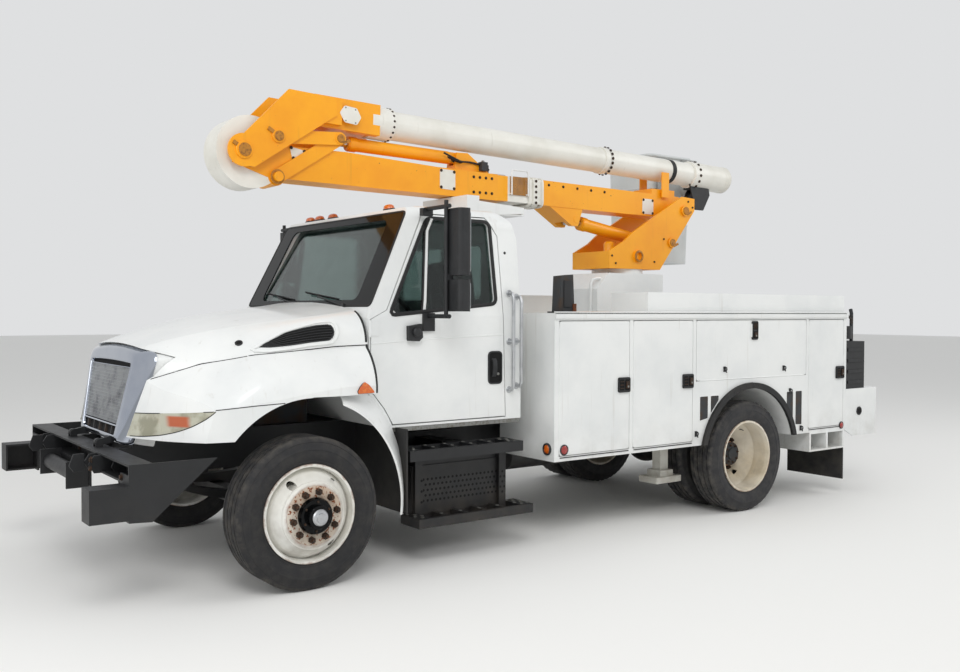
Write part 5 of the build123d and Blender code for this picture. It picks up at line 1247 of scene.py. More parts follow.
@dataclass
class HoodTrim:
    """Seams, vents, the blanked hole, lamp gaskets and marker lamps of the nose."""

    seam: Flat = ((3.150, 1.265), (2.900, 1.356), (2.630, 1.407), (2.100, 1.448), (1.905, 1.456))
    low_seam: Flat = ((2.925, 1.104), (2.700, 1.120), (2.420, 1.133))
    vent: Flat = ((2.605, 1.456), (2.520, 1.493), (2.400, 1.538), (2.290, 1.562), (2.200, 1.579), (2.110, 1.585),
                  (2.098, 1.556), (2.100, 1.528), (2.130, 1.490), (2.280, 1.479), (2.400, 1.464), (2.520, 1.453))
    slats: int = 6

    def edge(self, x: float, upper: bool) -> float:
        """Height of the vent's upper or lower edge at a station.

        Args:
            x: The station.
            upper: Which edge.

        Returns:
            The height.
        """
        rows = self.vent[0:6] if upper else (self.vent[0], self.vent[11], self.vent[10], self.vent[9], self.vent[8])
        for (x1, z1), (x2, z2) in zip(rows, rows[1:]):
            if x2 <= x <= x1:
                return z1 + (z2 - z1) * (x1 - x) / (x1 - x2)
        return rows[-1][1]

    def build(self) -> list[Piece]:
        """Trim of both sides, one piece for each kind.

        Returns:
            For each side the trim, the marker lamp and the lens's joint.
        """
        made = []
        hood, fenders, lamps = Surface("hood"), Surface("fenders"), Surface("headlamps")
        for side in Side:
            s = side.value
            trim = Mesher("hood_trim_" + side.word, "hood_body", angle=40)
            for node in (hood, fenders):
                trim.strip(node, self.seam, s, Look.JOINT_AND_SHADE, 0.006, 0.0016, step=0.015)
            trim.strip(fenders, self.low_seam, s, Look.JOINT_AND_SHADE, 0.005, 0.0014, step=0.015)
            for node, line in ((hood, ((1.898, 1.672), (1.898, 1.475))), (fenders, ((1.898, 1.460), (1.898, 1.160)))):
                trim.strip(node, line, s, Look.SEAL, 0.014, 0.003, step=0.02)
            # Near-black plate over the vent: painted shade between its slats.
            trim.patch(hood, self.vent, s, Look.JOINT_AND_SHADE, 0.0015)
            ring = [(p.x, p.z) for p in rounded([(x, 0, z) for x, z in self.vent], 0.02, 3)]
            trim.strip(hood, ring, s, Look.MOULDED, 0.010, 0.004, closed=True, step=0.02)
            rim = [(2.344 + (x - 2.34) * 1.115, 1.518 + (z - 1.52) * 1.36) for x, z in ring]
            trim.strip(hood, rim, s, Look.BODY, 0.024, 0.011, closed=True, step=0.015)
            for k in range(1, self.slats):
                line = []
                for i in range(15):
                    x = 2.112 + 0.448 * i / 14
                    low, high = self.edge(x, False), self.edge(x, True)
                    if high - low > 0.016:
                        line.append((x, low + (high - low) * k / self.slats))
                trim.strip(hood, line, s, Look.MOULDED, 0.006, 0.006)
            found = hood.from_side(s, 2.680, 1.477)
            if found:
                place, normal = found
                trim.lathe([(0.024, -0.003), (0.024, 0.003), (0.019, 0.006), (0.014, 0.004), (0.013, -0.003)],
                           place, normal, Look.MOULDED, 24)
                trim.disc(place - normal * 0.002, normal, 0.0145, 0.0035, Look.JOINT_AND_SHADE)
            made.append(trim.build())
            made.append(self.marker(side, fenders))
            made.append(self.gasket(side, lamps))
        return made

    def marker(self, side: Side, fenders: Surface) -> Piece:
        """The amber marker lamp at the fender's rear edge.

        Args:
            side: Which side of the truck.
            fenders: The fenders' skin.

        Returns:
            The piece.
        """
        mesh = Mesher("fender_marker_" + side.word, "hood_body", angle=45)
        outline = ((2.045, 1.164), (2.050, 1.176), (2.030, 1.208), (2.000, 1.228), (1.965, 1.208), (1.935, 1.176),
                   (1.930, 1.164))
        mesh.patch(fenders, outline, side.value, Look.AMBER, 0.014, cuts=2)
        mesh.strip(fenders, outline, side.value, Look.MOULDED, 0.006, 0.004, closed=True, step=0.012)
        return mesh.build()

    def gasket(self, side: Side, lamps: Surface) -> Piece:
        """The dark joint round the lens, and the rib that parts its two chambers.

        Args:
            side: Which side of the truck.
            lamps: The lenses.

        Returns:
            The piece.
        """
        mesh = Mesher("lamp_trim_" + side.word, "hood_body", angle=40)
        upper = ((2.926, 1.096), (3.060, 1.085), (3.222, 1.064))
        arc = ((2.926, 1.094), (2.969, 1.052), (3.023, 1.011), (3.083, 0.977), (3.146, 0.952), (3.212, 0.934),
               (3.250, 0.929))
        for line in (upper, arc):
            mesh.strip(lamps, line, side.value, Look.JOINT_AND_SHADE, 0.005, 0.0014, step=0.015)
        mesh.strip(lamps, ((3.136, 1.072), (3.150, 0.956)), side.value, Look.LENS, 0.010, 0.0012, step=0.015)
        return mesh.build()


@dataclass
class Cab:
    """Windshield border, wipers, roof lamps, door trim and grab handles."""

    glass_low: tuple[float, float] = (1.860, 1.690)
    glass_high: tuple[float, float] = (1.539, 2.345)

    def shield(self, y: float, z: float, out: float = 0.0) -> Vector:
        """A point on the windshield plane at a height, moved out along its normal.

        Args:
            y: Distance to the truck's left.
            z: Height.
            out: Distance in front of the glass.

        Returns:
            The point.
        """
        (x1, z1), (x2, z2) = self.glass_low, self.glass_high
        rise = Vector((x2 - x1, 0, z2 - z1)).normalized()
        normal = Vector((rise.z, 0, -rise.x))
        return Vector((x1 + (x2 - x1) * (z - z1) / (z2 - z1), y, z)) + normal * out

    def windshield(self) -> Piece:
        """Black glass border with its rubber edge, and two parked wipers.

        Returns:
            The piece.
        """
        mesh = Mesher("windshield_trim", "chassis", angle=40)
        out = self.shield(0, 2, 1) - self.shield(0, 2, 0)
        outer, inner = (rounded([self.shield(y, z, -0.004) for y, z in ((-a, low), (a, low), (b, high), (-b, high))],
                                radius, 8)
                        for a, low, b, high, radius in ((0.970, 1.706, 0.905, 2.336, 0.04),
                                                        (0.762, 1.744, 0.722, 2.290, 0.07)))
        depth = out * 0.009
        mesh.loops([[a, b, b + depth, a + depth] for a, b in zip(outer, inner)], Look.FRIT, closed=True)
        mesh.sweep([p + out * 0.006 for p in outer], bead(0.008, -0.004, 0.006, 0.005), Look.SEAL, out,
                   closed=True)
        for pivot, tip in ((0.62, -0.02), (-0.06, -0.68)):
            foot, end = self.shield(pivot, 1.700, 0.012), self.shield(tip, 1.800, 0.016)
            mesh.disc(self.shield(pivot, 1.700), out, 0.020, 0.022, Look.MOULDED)
            mesh.tube([foot, foot.lerp(end, 0.5) + out * 0.016, foot.lerp(end, 0.62) + out * 0.012], 0.006,
                      Look.MOULDED, 8)
            start = self.shield(pivot - 0.10, 1.748, 0.016)
            mesh.sweep([start, start.lerp(end, 0.5), end], bead(0.006, -0.012, 0.003, 0.006), Look.SEAL, out)
        return mesh.build()

    def roof_lamps(self) -> Piece:
        """The four amber clearance lamps that are left along the roof's front edge.

        Returns:
            The piece.
        """
        mesh = Mesher("roof_lamps", "chassis", angle=40)
        shell = Surface("cab_shell")
        foot = ((0.036, 0.060, -0.012), (0.036, 0.060, 0.006), (0.033, 0.056, 0.010))
        lens = [(0.036 * scale, 0.058 * scale, rise)
                for scale, rise in ((0.92, 0.006), (0.90, 0.018), (0.78, 0.028), (0.52, 0.035), (0.2, 0.038))]
        across = Vector((0, 1, 0))
        for y in (0.55, -0.28, -0.50, -0.66):
            place, normal = shell.hit((1.462, y, 3), (0, 0, -1))
            along = across.cross(normal).normalized()
            for rows, finish in ((foot, Look.MOULDED), (lens, Look.AMBER)):
                mesh.loops([[place + along * width * a + across * length * b + normal * rise
                             for a, b in circle(1.0, 20)] for width, length, rise in rows], finish)
        return mesh.build()

    def door(self, side: Side) -> Piece:
        """Window seal, divider, crease, handle and mirror foot on one door.

        Args:
            side: Which door.

        Returns:
            The piece.
        """
        s = side.value
        mesh = Mesher("door_trim_" + side.word, "cab_door_body_" + side.word, angle=40)
        door, glass = Surface("cab_door_" + side.word), Surface("door_glass_" + side.word)
        window = [(p.x, p.z) for p in rounded([(1.728, 0, 1.645), (0.856, 0, 1.726), (0.880, 0, 2.298),
                                               (1.402, 0, 2.298)], 0.045)]
        mesh.strip(door, window, s, Look.SEAL, 0.026, 0.006, closed=True, step=0.02)
        path = []
        for k in range(9):
            x, z = 1.452 - 0.060 * k / 8, 1.668 + 0.622 * k / 8
            path.append(Vector((x, s * (glass.depth(s, x, z, 0.97) + 0.004), z)))
        mesh.sweep(path, [(-0.020, -0.006), (0.020, -0.006), (0.020, 0.006), (0.014, 0.010), (-0.014, 0.010),
                          (-0.020, 0.006)], Look.SEAL, (0, s, 0))
        mesh.sweep([p + Vector((0, s * 0.009, 0)) for p in path], bead(0.010, -0.002, 0.008, 0.006), Look.BODY,
                   (0, s, 0))
        mesh.strip(door, ((1.862, 1.464), (1.546, 1.483), (1.016, 1.503), (0.800, 1.510)), s, Look.BODY, 0.012,
                   0.0035, step=0.05)
        self.handle(mesh, door, s)
        y = door.depth(s, 1.55, 1.53)
        foot = ((1.600, 1.575), (1.500, 1.590), (1.492, 1.500), (1.520, 1.475), (1.598, 1.478))
        mesh.prism([(x, s * (y - 0.002), z) for x, z in foot], (0, s * 0.038, 0), Look.MOULDED)
        mesh.disc((1.545, s * (y + 0.034), 1.535), (0, s, 0), 0.030, 0.020, Look.MOULDED, dome=0.006)
        return mesh.build()

    def handle(self, mesh: Mesher, door: Surface, s: int) -> None:
        """Recessed paddle handle in its black surround.

        Args:
            mesh: The door's trim.
            door: The door's skin.
            s: 1 for the left, -1 for the right.
        """
        x, z = 0.872, 1.280
        y = door.depth(s, x, z)
        outer = oblong((x, s * (y - 0.004), z), (0.056, 0, 0), (0, 0, 0.110), 0.03)
        # Near-black cup inside the surround: painted shade of the handle's recess.
        mesh.prism(outer, (0, s * 0.007, 0), Look.JOINT_AND_SHADE)
        mesh.sweep([Vector((p.x, s * (y + 0.002), p.z)) for p in outer], bead(0.006, -0.004, 0.005, 0.004),
                   Look.MOULDED, (0, s, 0), closed=True)
        paddle = ((0.003, -0.062), (0.017, -0.045), (0.021, 0), (0.017, 0.045), (0.003, 0.062))
        mesh.sweep([(x + 0.012, s * (y + out), z + up) for out, up in paddle], bead(0.020, -0.004, 0.017, 0.004),
                   Look.MOULDED, (0, s, 0))
        mesh.disc((x - 0.026, s * (y + 0.002), z - 0.045), (0, s, 0), 0.010, 0.005, Look.ZINC)

    def grab_handles(self, side: Side) -> Piece:
        """The two upright tubes behind the door and the grey sill below it.

        Args:
            side: Which side.

        Returns:
            The piece.
        """
        s = side.value
        mesh = Mesher("cab_side_trim_" + side.word, "chassis", angle=40)
        shell = Surface("cab_shell")
        for x, low, high, gap in ((0.748, 1.120, 1.800, 0.052), (0.684, 1.145, 1.775, 0.060)):
            y = shell.depth(s, x, 1.4)
            path = [(x, s * (y - 0.002), low), (x, s * (y + gap * 0.7), low)]
            path += [(x, s * (y + gap), low + 0.03 + (high - low - 0.06) * k / 6) for k in range(7)]
            path += [(x, s * (y + gap * 0.7), high), (x, s * (y - 0.002), high)]
            mesh.tube(path, 0.0125, Look.ALUMINIUM, 12)
            for z in (low, high, (low + high) / 2):
                if low < z < high:
                    mesh.tube([(x, s * (y - 0.002), z), (x, s * (y + gap), z)], 0.008, Look.ALUMINIUM, 8)
                mesh.disc((x, s * (y - 0.001), z), (0, s, 0), 0.024, 0.006, Look.ALUMINIUM)
        sill = oblong((1.205, s * 0.968, 0.900), (-0.555, 0, 0), (0, 0, 0.014), 0.006, 2)
        mesh.prism(sill, (0, s * 0.028, 0), Look.ZINC)
        mesh.disc((0.756, s * (shell.depth(s, 0.756, 2.085, 0.95) - 0.001), 2.085), (0, s, 0), 0.010, 0.004,
                  Look.MOULDED)
        return mesh.build()

    def mirrors(self, side: Side) -> Piece:
        """Silvered glass set in the rear faces of the mirror heads.

        Args:
            side: Which side.

        Returns:
            The piece.
        """
        y = side.value * 1.262
        mesh = Mesher("mirror_glass_" + side.word, "cab_door_body_" + side.word, angle=40)
        heads = Surface("mirror_" + side.word)
        for low, high in ((1.690, 1.860), (1.924, 2.316)):
            found = heads.hit((0.5, y, (low + high) / 2), (1, 0, 0))
            x = found[0].x if found else 1.32
            mesh.prism(oblong((x + 0.001, y, (low + high) / 2), (0, 0.072, 0), (0, 0, (high - low) / 2), 0.02),
                       (-0.003, 0, 0), Look.MIRROR)
        return mesh.build()

    def build(self) -> list[Piece]:
        """Build all of the cab's trim.

        Returns:
            The pieces.
        """
        made = [self.windshield(), self.roof_lamps()]
        for side in Side:
            made += [self.door(side), self.grab_handles(side), self.mirrors(side)]
        return made


@dataclass
class ServiceBody:
    """Latches, lips, slots, lamps, hooks and rails of the side packs."""

    face_y: float = 1.194
    latches: tuple[tuple[str, float, float], ...] = (("front", -0.188, 1.126), ("middle", -0.888, 1.126),
                                                     ("rear", -2.916, 1.126))
    hooks: Flat = ((-1.328, 1.205), (-2.099, 1.190))
    low_hooks: Flat = ((-1.674, 1.062), (-2.190, 0.990), (-2.348, 0.655), (-0.990, 0.700))

    def latch(self, side: Side, name: str, x: float, z: float, tall: bool) -> Piece:
        """A black paddle latch in its flanged cup.

        Args:
            side: Which side of the truck.
            name: The door's name.
            x: Station of its middle.
            z: Height of its middle.
            tall: Whether its two cells lie one above the other.

        Returns:
            The piece.
        """
        s, y = side.value, self.face_y + 0.008
        half_x, half_z = (0.036, 0.078) if tall else (0.060, 0.056)
        mesh = Mesher(name + "_latch_" + side.word, name + "_door_body_" + side.word, angle=40)
        outer = oblong((x, s * (y - 0.010), z), (half_x, 0, 0), (0, 0, half_z), 0.014)
        mesh.prism(outer, (0, s * 0.014, 0), Look.MOULDED)
        ring = [Vector((x + (p.x - x) * 0.93, s * (y + 0.004), z + (p.z - z) * 0.93)) for p in outer]
        mesh.sweep(ring, bead(0.003, -0.002, 0.002, 0.003), Look.MOULDED, (0, s, 0), closed=True)
        hx, hz = (half_x * 0.72, half_z * 0.38) if tall else (half_x * 0.38, half_z * 0.72)
        for share in (0.46, -0.46):
            cx, cz = (x, z + share * half_z) if tall else (x + share * half_x, z)
            # Near-black cells: painted shade in the cup's two hollows.
            mesh.prism(oblong((cx, s * (y + 0.003), cz), (hx, 0, 0), (0, 0, hz), 0.006), (0, s * 0.0022, 0), Look.JOINT_AND_SHADE)
            if share < 0:
                mesh.box((cx, s * (y + 0.010), cz), (hx * 1.5, 0.010, hz * 1.3), Look.STUD)
                mesh.disc((cx, s * (y + 0.014), cz - hz * 0.3), (0, s, 0), 0.008, 0.004, Look.ZINC)
                continue
            for offset in (-0.6, 0, 0.6):
                if tall:
                    mesh.box((cx + offset * hx, s * (y + 0.006), cz), (0.006, 0.004, hz * 1.6), Look.STUD)
                else:
                    mesh.box((cx, s * (y + 0.006), cz + offset * hz), (hx * 1.6, 0.004, 0.006), Look.STUD)
        return mesh.build()

    def trim(self, side: Side) -> Piece:
        """Top lips, twin slots, lamps and hooks that stay on the body.

        Args:
            side: Which side of the truck.

        Returns:
            The piece.
        """
        s, y = side.value, self.face_y
        mesh = Mesher("body_trim_" + side.word, "chassis", bevel=0.001, angle=40)
        for z, height in ((1.622, 0.036), (1.664, 0.010)):
            corners = ((-0.004, 0), (0.016, 0), (0.018, 0.004), (0.018, height - 0.004), (-0.004, height))
            mesh.prism([(0.494, s * (y + out), z + up) for out, up in corners], (-3.518, 0, 0), Look.BODY)
        mesh.box((-1.263, s * (y - 0.002), 1.6605), (3.50, 0.012, 0.0045), Look.JOINT_AND_SHADE)
        mesh.prism([(0.49, s * (y + out), z) for out, z in ((-0.30, 1.656), (0.004, 1.656), (0.004, 1.662),
                                                            (-0.30, 1.662))], (-3.51, 0, 0), Look.BODY)
        for outline in (((-1.030, 0.997), (-1.132, 0.997), (-1.132, 0.815), (-1.030, 0.798)),
                        ((-1.158, 0.997), (-1.262, 0.997), (-1.262, 0.955), (-1.158, 0.842)),
                        ((-2.142, 0.985), (-2.238, 0.985), (-2.238, 0.720), (-2.142, 0.845)),
                        ((-2.266, 0.985), (-2.362, 0.985), (-2.362, 0.683), (-2.266, 0.690))):
            shape = rounded([(x, s * (y - 0.003), z) for x, z in outline], 0.012, 3)
            # Near-black iron plate in each slot: painted shade of its opening.
            mesh.prism(shape, (0, s * 0.0042, 0), Look.IRON)
            mesh.sweep([p + Vector((0, s * 0.004, 0)) for p in shape], bead(0.004, -0.002, 0.003, 0.003), Look.BODY,
                       (0, s, 0), closed=True)
        for x, z, radius in ((0.398, 0.685, 0.033), (-2.952, 0.640, 0.028)):
            mesh.lamp((x, s * y, z), (0, s, 0), (radius + 0.006, radius, radius - 0.004, 0.004, 0.008),
                      (radius - 0.002, 0.008, 0.006), (Look.MOULDED, Look.RED))
        mesh.lamp((0.490, s * 1.120, 0.690), (1, 0, 0), (0.044, 0.036, 0.032, 0.010, 0.016),
                  (0.033, 0.010, 0.008), (Look.MOULDED, Look.AMBER))
        for x, z in self.low_hooks:
            self.hook(mesh, s, x, z)
        for front, rear in ((0.448, -0.250), (-0.286, -0.950), (-2.454, -2.978)):
            mesh.box(((front + rear) / 2, s * (y + 0.001), 0.630), (front - rear - 0.02, 0.008, 0.006), Look.SEAL)
        return mesh.build()

    def hook(self, mesh: Mesher, s: int, x: float, z: float) -> None:
        """A small bent-rod tie hook on its plate.

        Args:
            mesh: The piece that it belongs to.
            s: 1 for the left, -1 for the right.
            x: Station.
            z: Height.
        """
        mesh.box((x, s * (self.face_y + 0.002), z), (0.026, 0.006, 0.044), Look.MOULDED)
        rod = ((0.003, 0.012), (0.022, 0.014), (0.026, 0.002), (0.018, -0.018), (0.024, -0.026))
        mesh.tube([(x, s * (self.face_y + out), z + up) for out, up in rod], 0.0055, Look.MOULDED, 8)

    def upper_hooks(self, side: Side) -> Piece:
        """The two tie hooks on the drop-down door.

        Args:
            side: Which side of the truck.

        Returns:
            The piece.
        """
        mesh = Mesher("upper_door_hooks_" + side.word, "upper_door_body_" + side.word, angle=40)
        for x, z in self.hooks:
            self.hook(mesh, side.value, x, z)
        return mesh.build()

    def rivets(self) -> Piece:
        """Dome rivets along the packs' lower edge and the flares, by Geometry Nodes.

        Returns:
            The piece.
        """
        copies = Copies("flare_rivets", "chassis", 11)
        for side in Side:
            s = side.value
            for k in range(19):
                turn = math.radians(22 + 136 * k / 18)
                copies.at((REAR + 0.598 * math.cos(turn), s * 1.2195, AXLE_Z + 0.598 * math.sin(turn)), (0, s, 0))
            for x in (-2.13, -2.24, -2.34, -2.44, -2.55):
                copies.at((x, s * 0.88, 0.585), (-1, 0, 0))
        rivet = ((0, -0.001), (0.0055, -0.001), (0.0055, 0.001), (0.004, 0.003), (0, 0.004))
        return copies.build(turned_piece(rivet, Look.STUD), Look.MOULDED)

    def top(self) -> Piece:
        """Pedestal grab rail and valve post.

        Returns:
            The piece.
        """
        mesh = Mesher("body_top_fittings", "chassis", angle=40)
        rail = [(-0.93, 0.20, 1.955), (-0.80, 0.20, 1.962), (-0.765, 0.20, 1.935), (-0.765, 0.20, 1.70),
                (-0.765, 0.20, 1.10)]
        mesh.tube(resample(rail, 0.05), 0.014, Look.BODY, 10)
        mesh.box((0.290, 1.060, 1.667), (0.170, 0.170, 0.012), Look.CHASSIS)
        mesh.prism([(0.222, 1.010, 1.668), (0.362, 1.010, 1.668), (0.350, 1.010, 1.930), (0.236, 1.010, 1.942)],
                   (0, 0.090, 0), Look.IRON)
        mesh.box((0.292, 1.102, 1.800), (0.070, 0.010, 0.190), Look.CHASSIS)
        mesh.box((0.226, 1.090, 1.700), (0.030, 0.040, 0.060), Look.RUST)
        return mesh.build()

    def build(self) -> list[Piece]:
        """Build all of the service body's trim.

        Returns:
            The pieces.
        """
        made = [self.rivets(), self.top()]
        for side in Side:
            made += [self.trim(side), self.upper_hooks(side)]
            made += [self.latch(side, name, x, z, False) for name, x, z in self.latches]
            made.append(self.latch(side, "upper", -1.703, 1.518, True))
        return made


@dataclass
class Steps:
    """Grip rings on the step treads and holes in the box between them, by Geometry Nodes."""

    def build(self) -> list[Piece]:
        """Raised grip rings on the treads, and near-black discs of painted shade for the holes in the box.

        Returns:
            The rings and the holes.
        """
        surface = Surface("side_steps")
        grips, holes = Copies("step_grips", "chassis", 2), Copies("box_holes", "chassis", 4)
        for side in Side:
            s = side.value
            for top, front, rear in ((0.770, 1.62, 0.75), (0.318, 1.55, 0.66)):
                for k in range(int((front - rear) / 0.052) + 1):
                    for j in range(4):
                        x, y = front - 0.052 * k - 0.026 * (j % 2), s * (0.935 + 0.048 * j)
                        found = surface.hit((x, y, top + 0.04), (0, 0, -1))
                        if found and abs(found[0].z - top) < 0.012:
                            grips.at(found[0], (0, 0, 1))
            for k in range(24):
                for j in range(5):
                    x, z = 1.46 - 0.034 * k - 0.017 * (j % 2), 0.395 + 0.036 * j
                    found = surface.from_side(s, x, z)
                    if found and abs(found[1].y) > 0.9:
                        holes.at(found[0], found[1])
        ring = ((0.013, -0.001), (0.013, 0.003), (0.009, 0.0045), (0.006, 0.003), (0.006, -0.001))
        # Near-black discs on the box: painted shade of its holes.
        hole = ((0, -0.0005), (0.009, -0.0005), (0.009, 0.0006), (0, 0.0006))
        return [grips.build(turned_piece(ring, Look.ZINC), Look.ZINC),
                holes.build(turned_piece(hole, Look.JOINT_AND_SHADE), Look.JOINT_AND_SHADE)]


@dataclass
class Bumper:
    """Bolts and guide plates of the fabricated front bumper."""

    def build(self) -> list[Piece]:
        """Bolt heads by Geometry Nodes and the added plates.

        Returns:
            The bolts and the plates.
        """
        face = Surface("front_bumper")
        bolts = Copies("bumper_bolts", "chassis", 6)
        mesh = Mesher("bumper_fittings", "chassis", bevel=0.0015)
        for y in (-1.02, -0.62, -0.30, 0.30, 0.62, 1.02):
            for z in (0.765, 0.815):
                found = face.hit((4.2, y, z), (-1, 0, 0))
                if found:
                    bolts.at(found[0], (1, 0, 0))
        for y in (-0.52, -0.70, 0.52, 0.70):
            found = face.hit((4.2, y, 0.79), (-1, 0, 0))
            x = found[0].x if found else 3.435
            mesh.prism([(x + out, y, z) for out, z in ((-0.002, 0.738), (0.060, 0.738), (0.085, 0.775), (0.060, 0.842),
                                                       (-0.002, 0.842))], (0, 0.012, 0), Look.CHASSIS)
        return [bolts.build(hex_bolt(0.014, 0.010, 0.020), Look.STUD, 1.0), mesh.build()]


@dataclass
class Aerial:
    """Plates, bolted rings, strap, hoses, pins and rests of the boom, turret and their cylinders."""

    tube_front: tuple[float, float] = (1.580, 3.094)
    tube_tip: tuple[float, float] = (-2.660, 2.972)

    def line(self, x: float) -> Vector:
        """A point on the upper tube's middle line."""
        (x1, z1), (x2, z2) = self.tube_front, self.tube_tip
        return Vector((x, 0, z1 + (z2 - z1) * (x - x1) / (x2 - x1)))

    @property
    def axis(self) -> Vector:
        """The upper tube's direction, forward."""
        return (self.line(1) - self.line(0)).normalized()

    def bare_plate(self, mesh: Mesher, corners: Flat, y: float, s: int) -> None:
        """A bare bolted plate on a side face."""
        shape = rounded([(x, s * (y - 0.001), z) for x, z in corners], 0.012, 3)
        mesh.prism(shape, (0, s * 0.004, 0), Look.GELCOAT)

    def upper(self) -> list[Piece]:
        """Bands, bolts, plates and tip fittings of the upper boom.

        Returns:
            The bolts and the fittings.
        """
        bolts = Copies("boom_ring_bolts", "upper_boom_body", 8)
        mesh = Mesher("upper_boom_fittings", "upper_boom_body", angle=35)
        for x, radius, count in ((1.158, 0.1175, 18), (-1.098, 0.1185, 18), (-2.245, 0.1275, 14)):
            bolts.ring(self.line(x), self.axis, radius, count, outward=True)
        for x, width, outer in ((1.180, 0.012, 0.122), (1.136, 0.012, 0.122), (1.240, 0.100, 0.1245)):
            mesh.lathe([(0.106, 0), (outer - 0.002, 0), (outer, 0.002), (outer, width - 0.002),
                        (outer - 0.002, width), (0.106, width)], self.line(x), self.axis, Look.GELCOAT, 64)
        mesh.lathe([(0.108, 0), (0.1125, 0.001), (0.1125, 0.049), (0.108, 0.050)], self.line(-1.930), self.axis,
                   Look.SEAL, 64)
        mesh.lathe([(0, 0.0), (0.088, 0.0), (0.116, 0.010), (0.1285, 0.030), (0.1285, 0.060), (0, 0.060)],
                   self.line(-2.700) - self.axis * 0.012, self.axis, Look.GELCOAT, 64)
        mesh.prism([(-2.160, 0.045, 2.905), (-2.430, 0.045, 2.900), (-2.450, 0.045, 2.800), (-2.360, 0.045, 2.650),
                    (-2.250, 0.045, 2.650)], (0, 0.012, 0), Look.MOULDED)
        mesh.lathe([(0, -0.045), (0.080, -0.045), (0.092, -0.040), (0.092, -0.034), (0.066, -0.028), (0.066, 0.028),
                    (0.092, 0.034), (0.092, 0.040), (0.080, 0.045), (0, 0.045)], (-2.290, 0, 2.768), (0, 1, 0),
                   Look.MOULDED, 40)
        mesh.box((-2.300, 0.0, 2.868), (0.220, 0.090, 0.050), Look.CHASSIS)
        for s in (1, -1):
            self.bare_plate(mesh, ((1.500, 3.140), (1.600, 3.150), (1.640, 3.095), (1.600, 3.030), (1.500, 3.020),
                                   (1.465, 3.075)), 0.160, s)
            for x, z in ((1.512, 3.128), (1.592, 3.136), (1.592, 3.042), (1.512, 3.034)):
                mesh.disc((x, s * 0.162, z), (0, s, 0), 0.006, 0.004, Look.ZINC, 6)
            for x, z, radius in ((2.121, 2.874, 0.034), (2.371, 2.756, 0.046)):
                mesh.disc((x, s * 0.1765, z), (0, s, 0), radius + 0.014, 0.012, Look.AERIAL, 32)
                mesh.disc((x, s * 0.187, z), (0, s, 0), radius, 0.012, Look.PIN, 32)
                mesh.box((x + 0.048, s * 0.183, z + 0.030), (0.070, 0.010, 0.024), Look.PIN,
                         Matrix.Rotation(-0.55, 3, "Y"))
        return [bolts.build(hex_bolt(0.0095, 0.008, 0.014), Look.STUD, 1.0), mesh.build()]

    def lower(self) -> list[Piece]:
        """Plates, insulator ring, guard hoop, valves and hoses of the lower boom.

        Returns:
            The fittings and the bolts.
        """
        mesh = Mesher("lower_boom_fittings", "lower_boom_body", angle=35)
        bolts = Copies("lower_boom_bolts", "lower_boom_body", 12)
        for s in (1, -1):
            for corners in (((0.745, 2.778), (0.600, 2.772), (0.600, 2.618), (0.745, 2.624)),
                            ((-1.470, 2.700), (-1.610, 2.698), (-1.610, 2.560), (-1.470, 2.562)),
                            ((2.010, 2.822), (1.890, 2.800), (1.880, 2.740), (1.990, 2.736))):
                self.bare_plate(mesh, corners, 0.115, s)
                middle_x, middle_z = (sum(values) / 4 for values in zip(*corners))
                for x, z in corners:
                    bolts.at((x + (middle_x - x) * 0.16, s * 0.118, z + (middle_z - z) * 0.16), (0, s, 0))
            for x in (-0.36, -0.52, -0.68, -0.84, -1.0):
                bolts.at((x, s * 0.115, 2.735 + (x + 0.36) * 0.02), (0, s, 0))
            for x in (0.24, 0.30, 0.36, 0.42):
                for z in (2.62, 2.74):
                    bolts.at((x, s * 0.115, z), (0, s, 0))
            mesh.disc((2.110, s * 0.1425, 2.600), (0, s, 0), 0.030, 0.010, Look.PIN, 32)
        for x, width in ((-0.155, 0.030), (-0.215, 0.060), (-0.290, 0.022)):
            corners = oblong((x, 0, 2.665), (0, 0.119, 0), (0, 0, 0.121), 0.05)
            mesh.sweep(corners, bead(width / 2, -0.012, width / 2 - 0.003, 0.004), Look.GELCOAT,
                       [(p - Vector((x, 0, 2.665))).normalized() for p in corners], closed=True)
        for z in (2.575, 2.62, 2.665, 2.71, 2.755):
            for s in (1, -1):
                bolts.at((-0.215, s * 0.123, z), (0, s, 0))
        mesh.box((-0.045, 0.0, 2.700), (0.190, 0.244, 0.150), Look.AMBER_COVER)
        hoop = [(0.062, 0.150, 2.620), (0.062, 0.150, 2.800), (0.050, 0.150, 2.822), (-0.095, 0.150, 2.822),
                (-0.110, 0.150, 2.800), (-0.110, 0.150, 2.620)]
        for s in (1, -1):
            mesh.tube(resample([(x, s * y, z) for x, y, z in hoop], 0.03), 0.006, Look.BODY, 8)
            for x in (0.062, -0.110):
                mesh.tube([(x, s * 0.112, 2.632), (x, s * 0.150, 2.632)], 0.005, Look.BODY, 8)
        top = Surface("lower_boom").hit((0.40, 0.0, 3.2), (0, 0, -1))
        height = top[0].z if top else 2.83
        for x, y, size in ((0.300, 0.075, 0.07), (0.360, -0.060, 0.09), (0.235, 0.0, 0.06)):
            mesh.box((x, y, 2.800 + size / 2), (0.060, 0.050, size), Look.IRON)
            mesh.disc((x, y, 2.798 + size), (0, 0, 1), 0.014, 0.016, Look.ZINC, 6)
        for y in (-0.075, -0.025, 0.025, 0.075):
            path = [(0.240, y, 2.812), (0.300, y, 2.845), (0.420, y * 0.9, 2.860), (0.540, y * 0.6 + 0.06, 2.850),
                    (0.680, y, max(height, 2.80) + 0.006)]
            mesh.tube(resample(path, 0.03), 0.008, Look.SEAL, 8)
        return [mesh.build(), bolts.build(hex_bolt(0.008, 0.006, 0.012), Look.STUD, 1.0)]

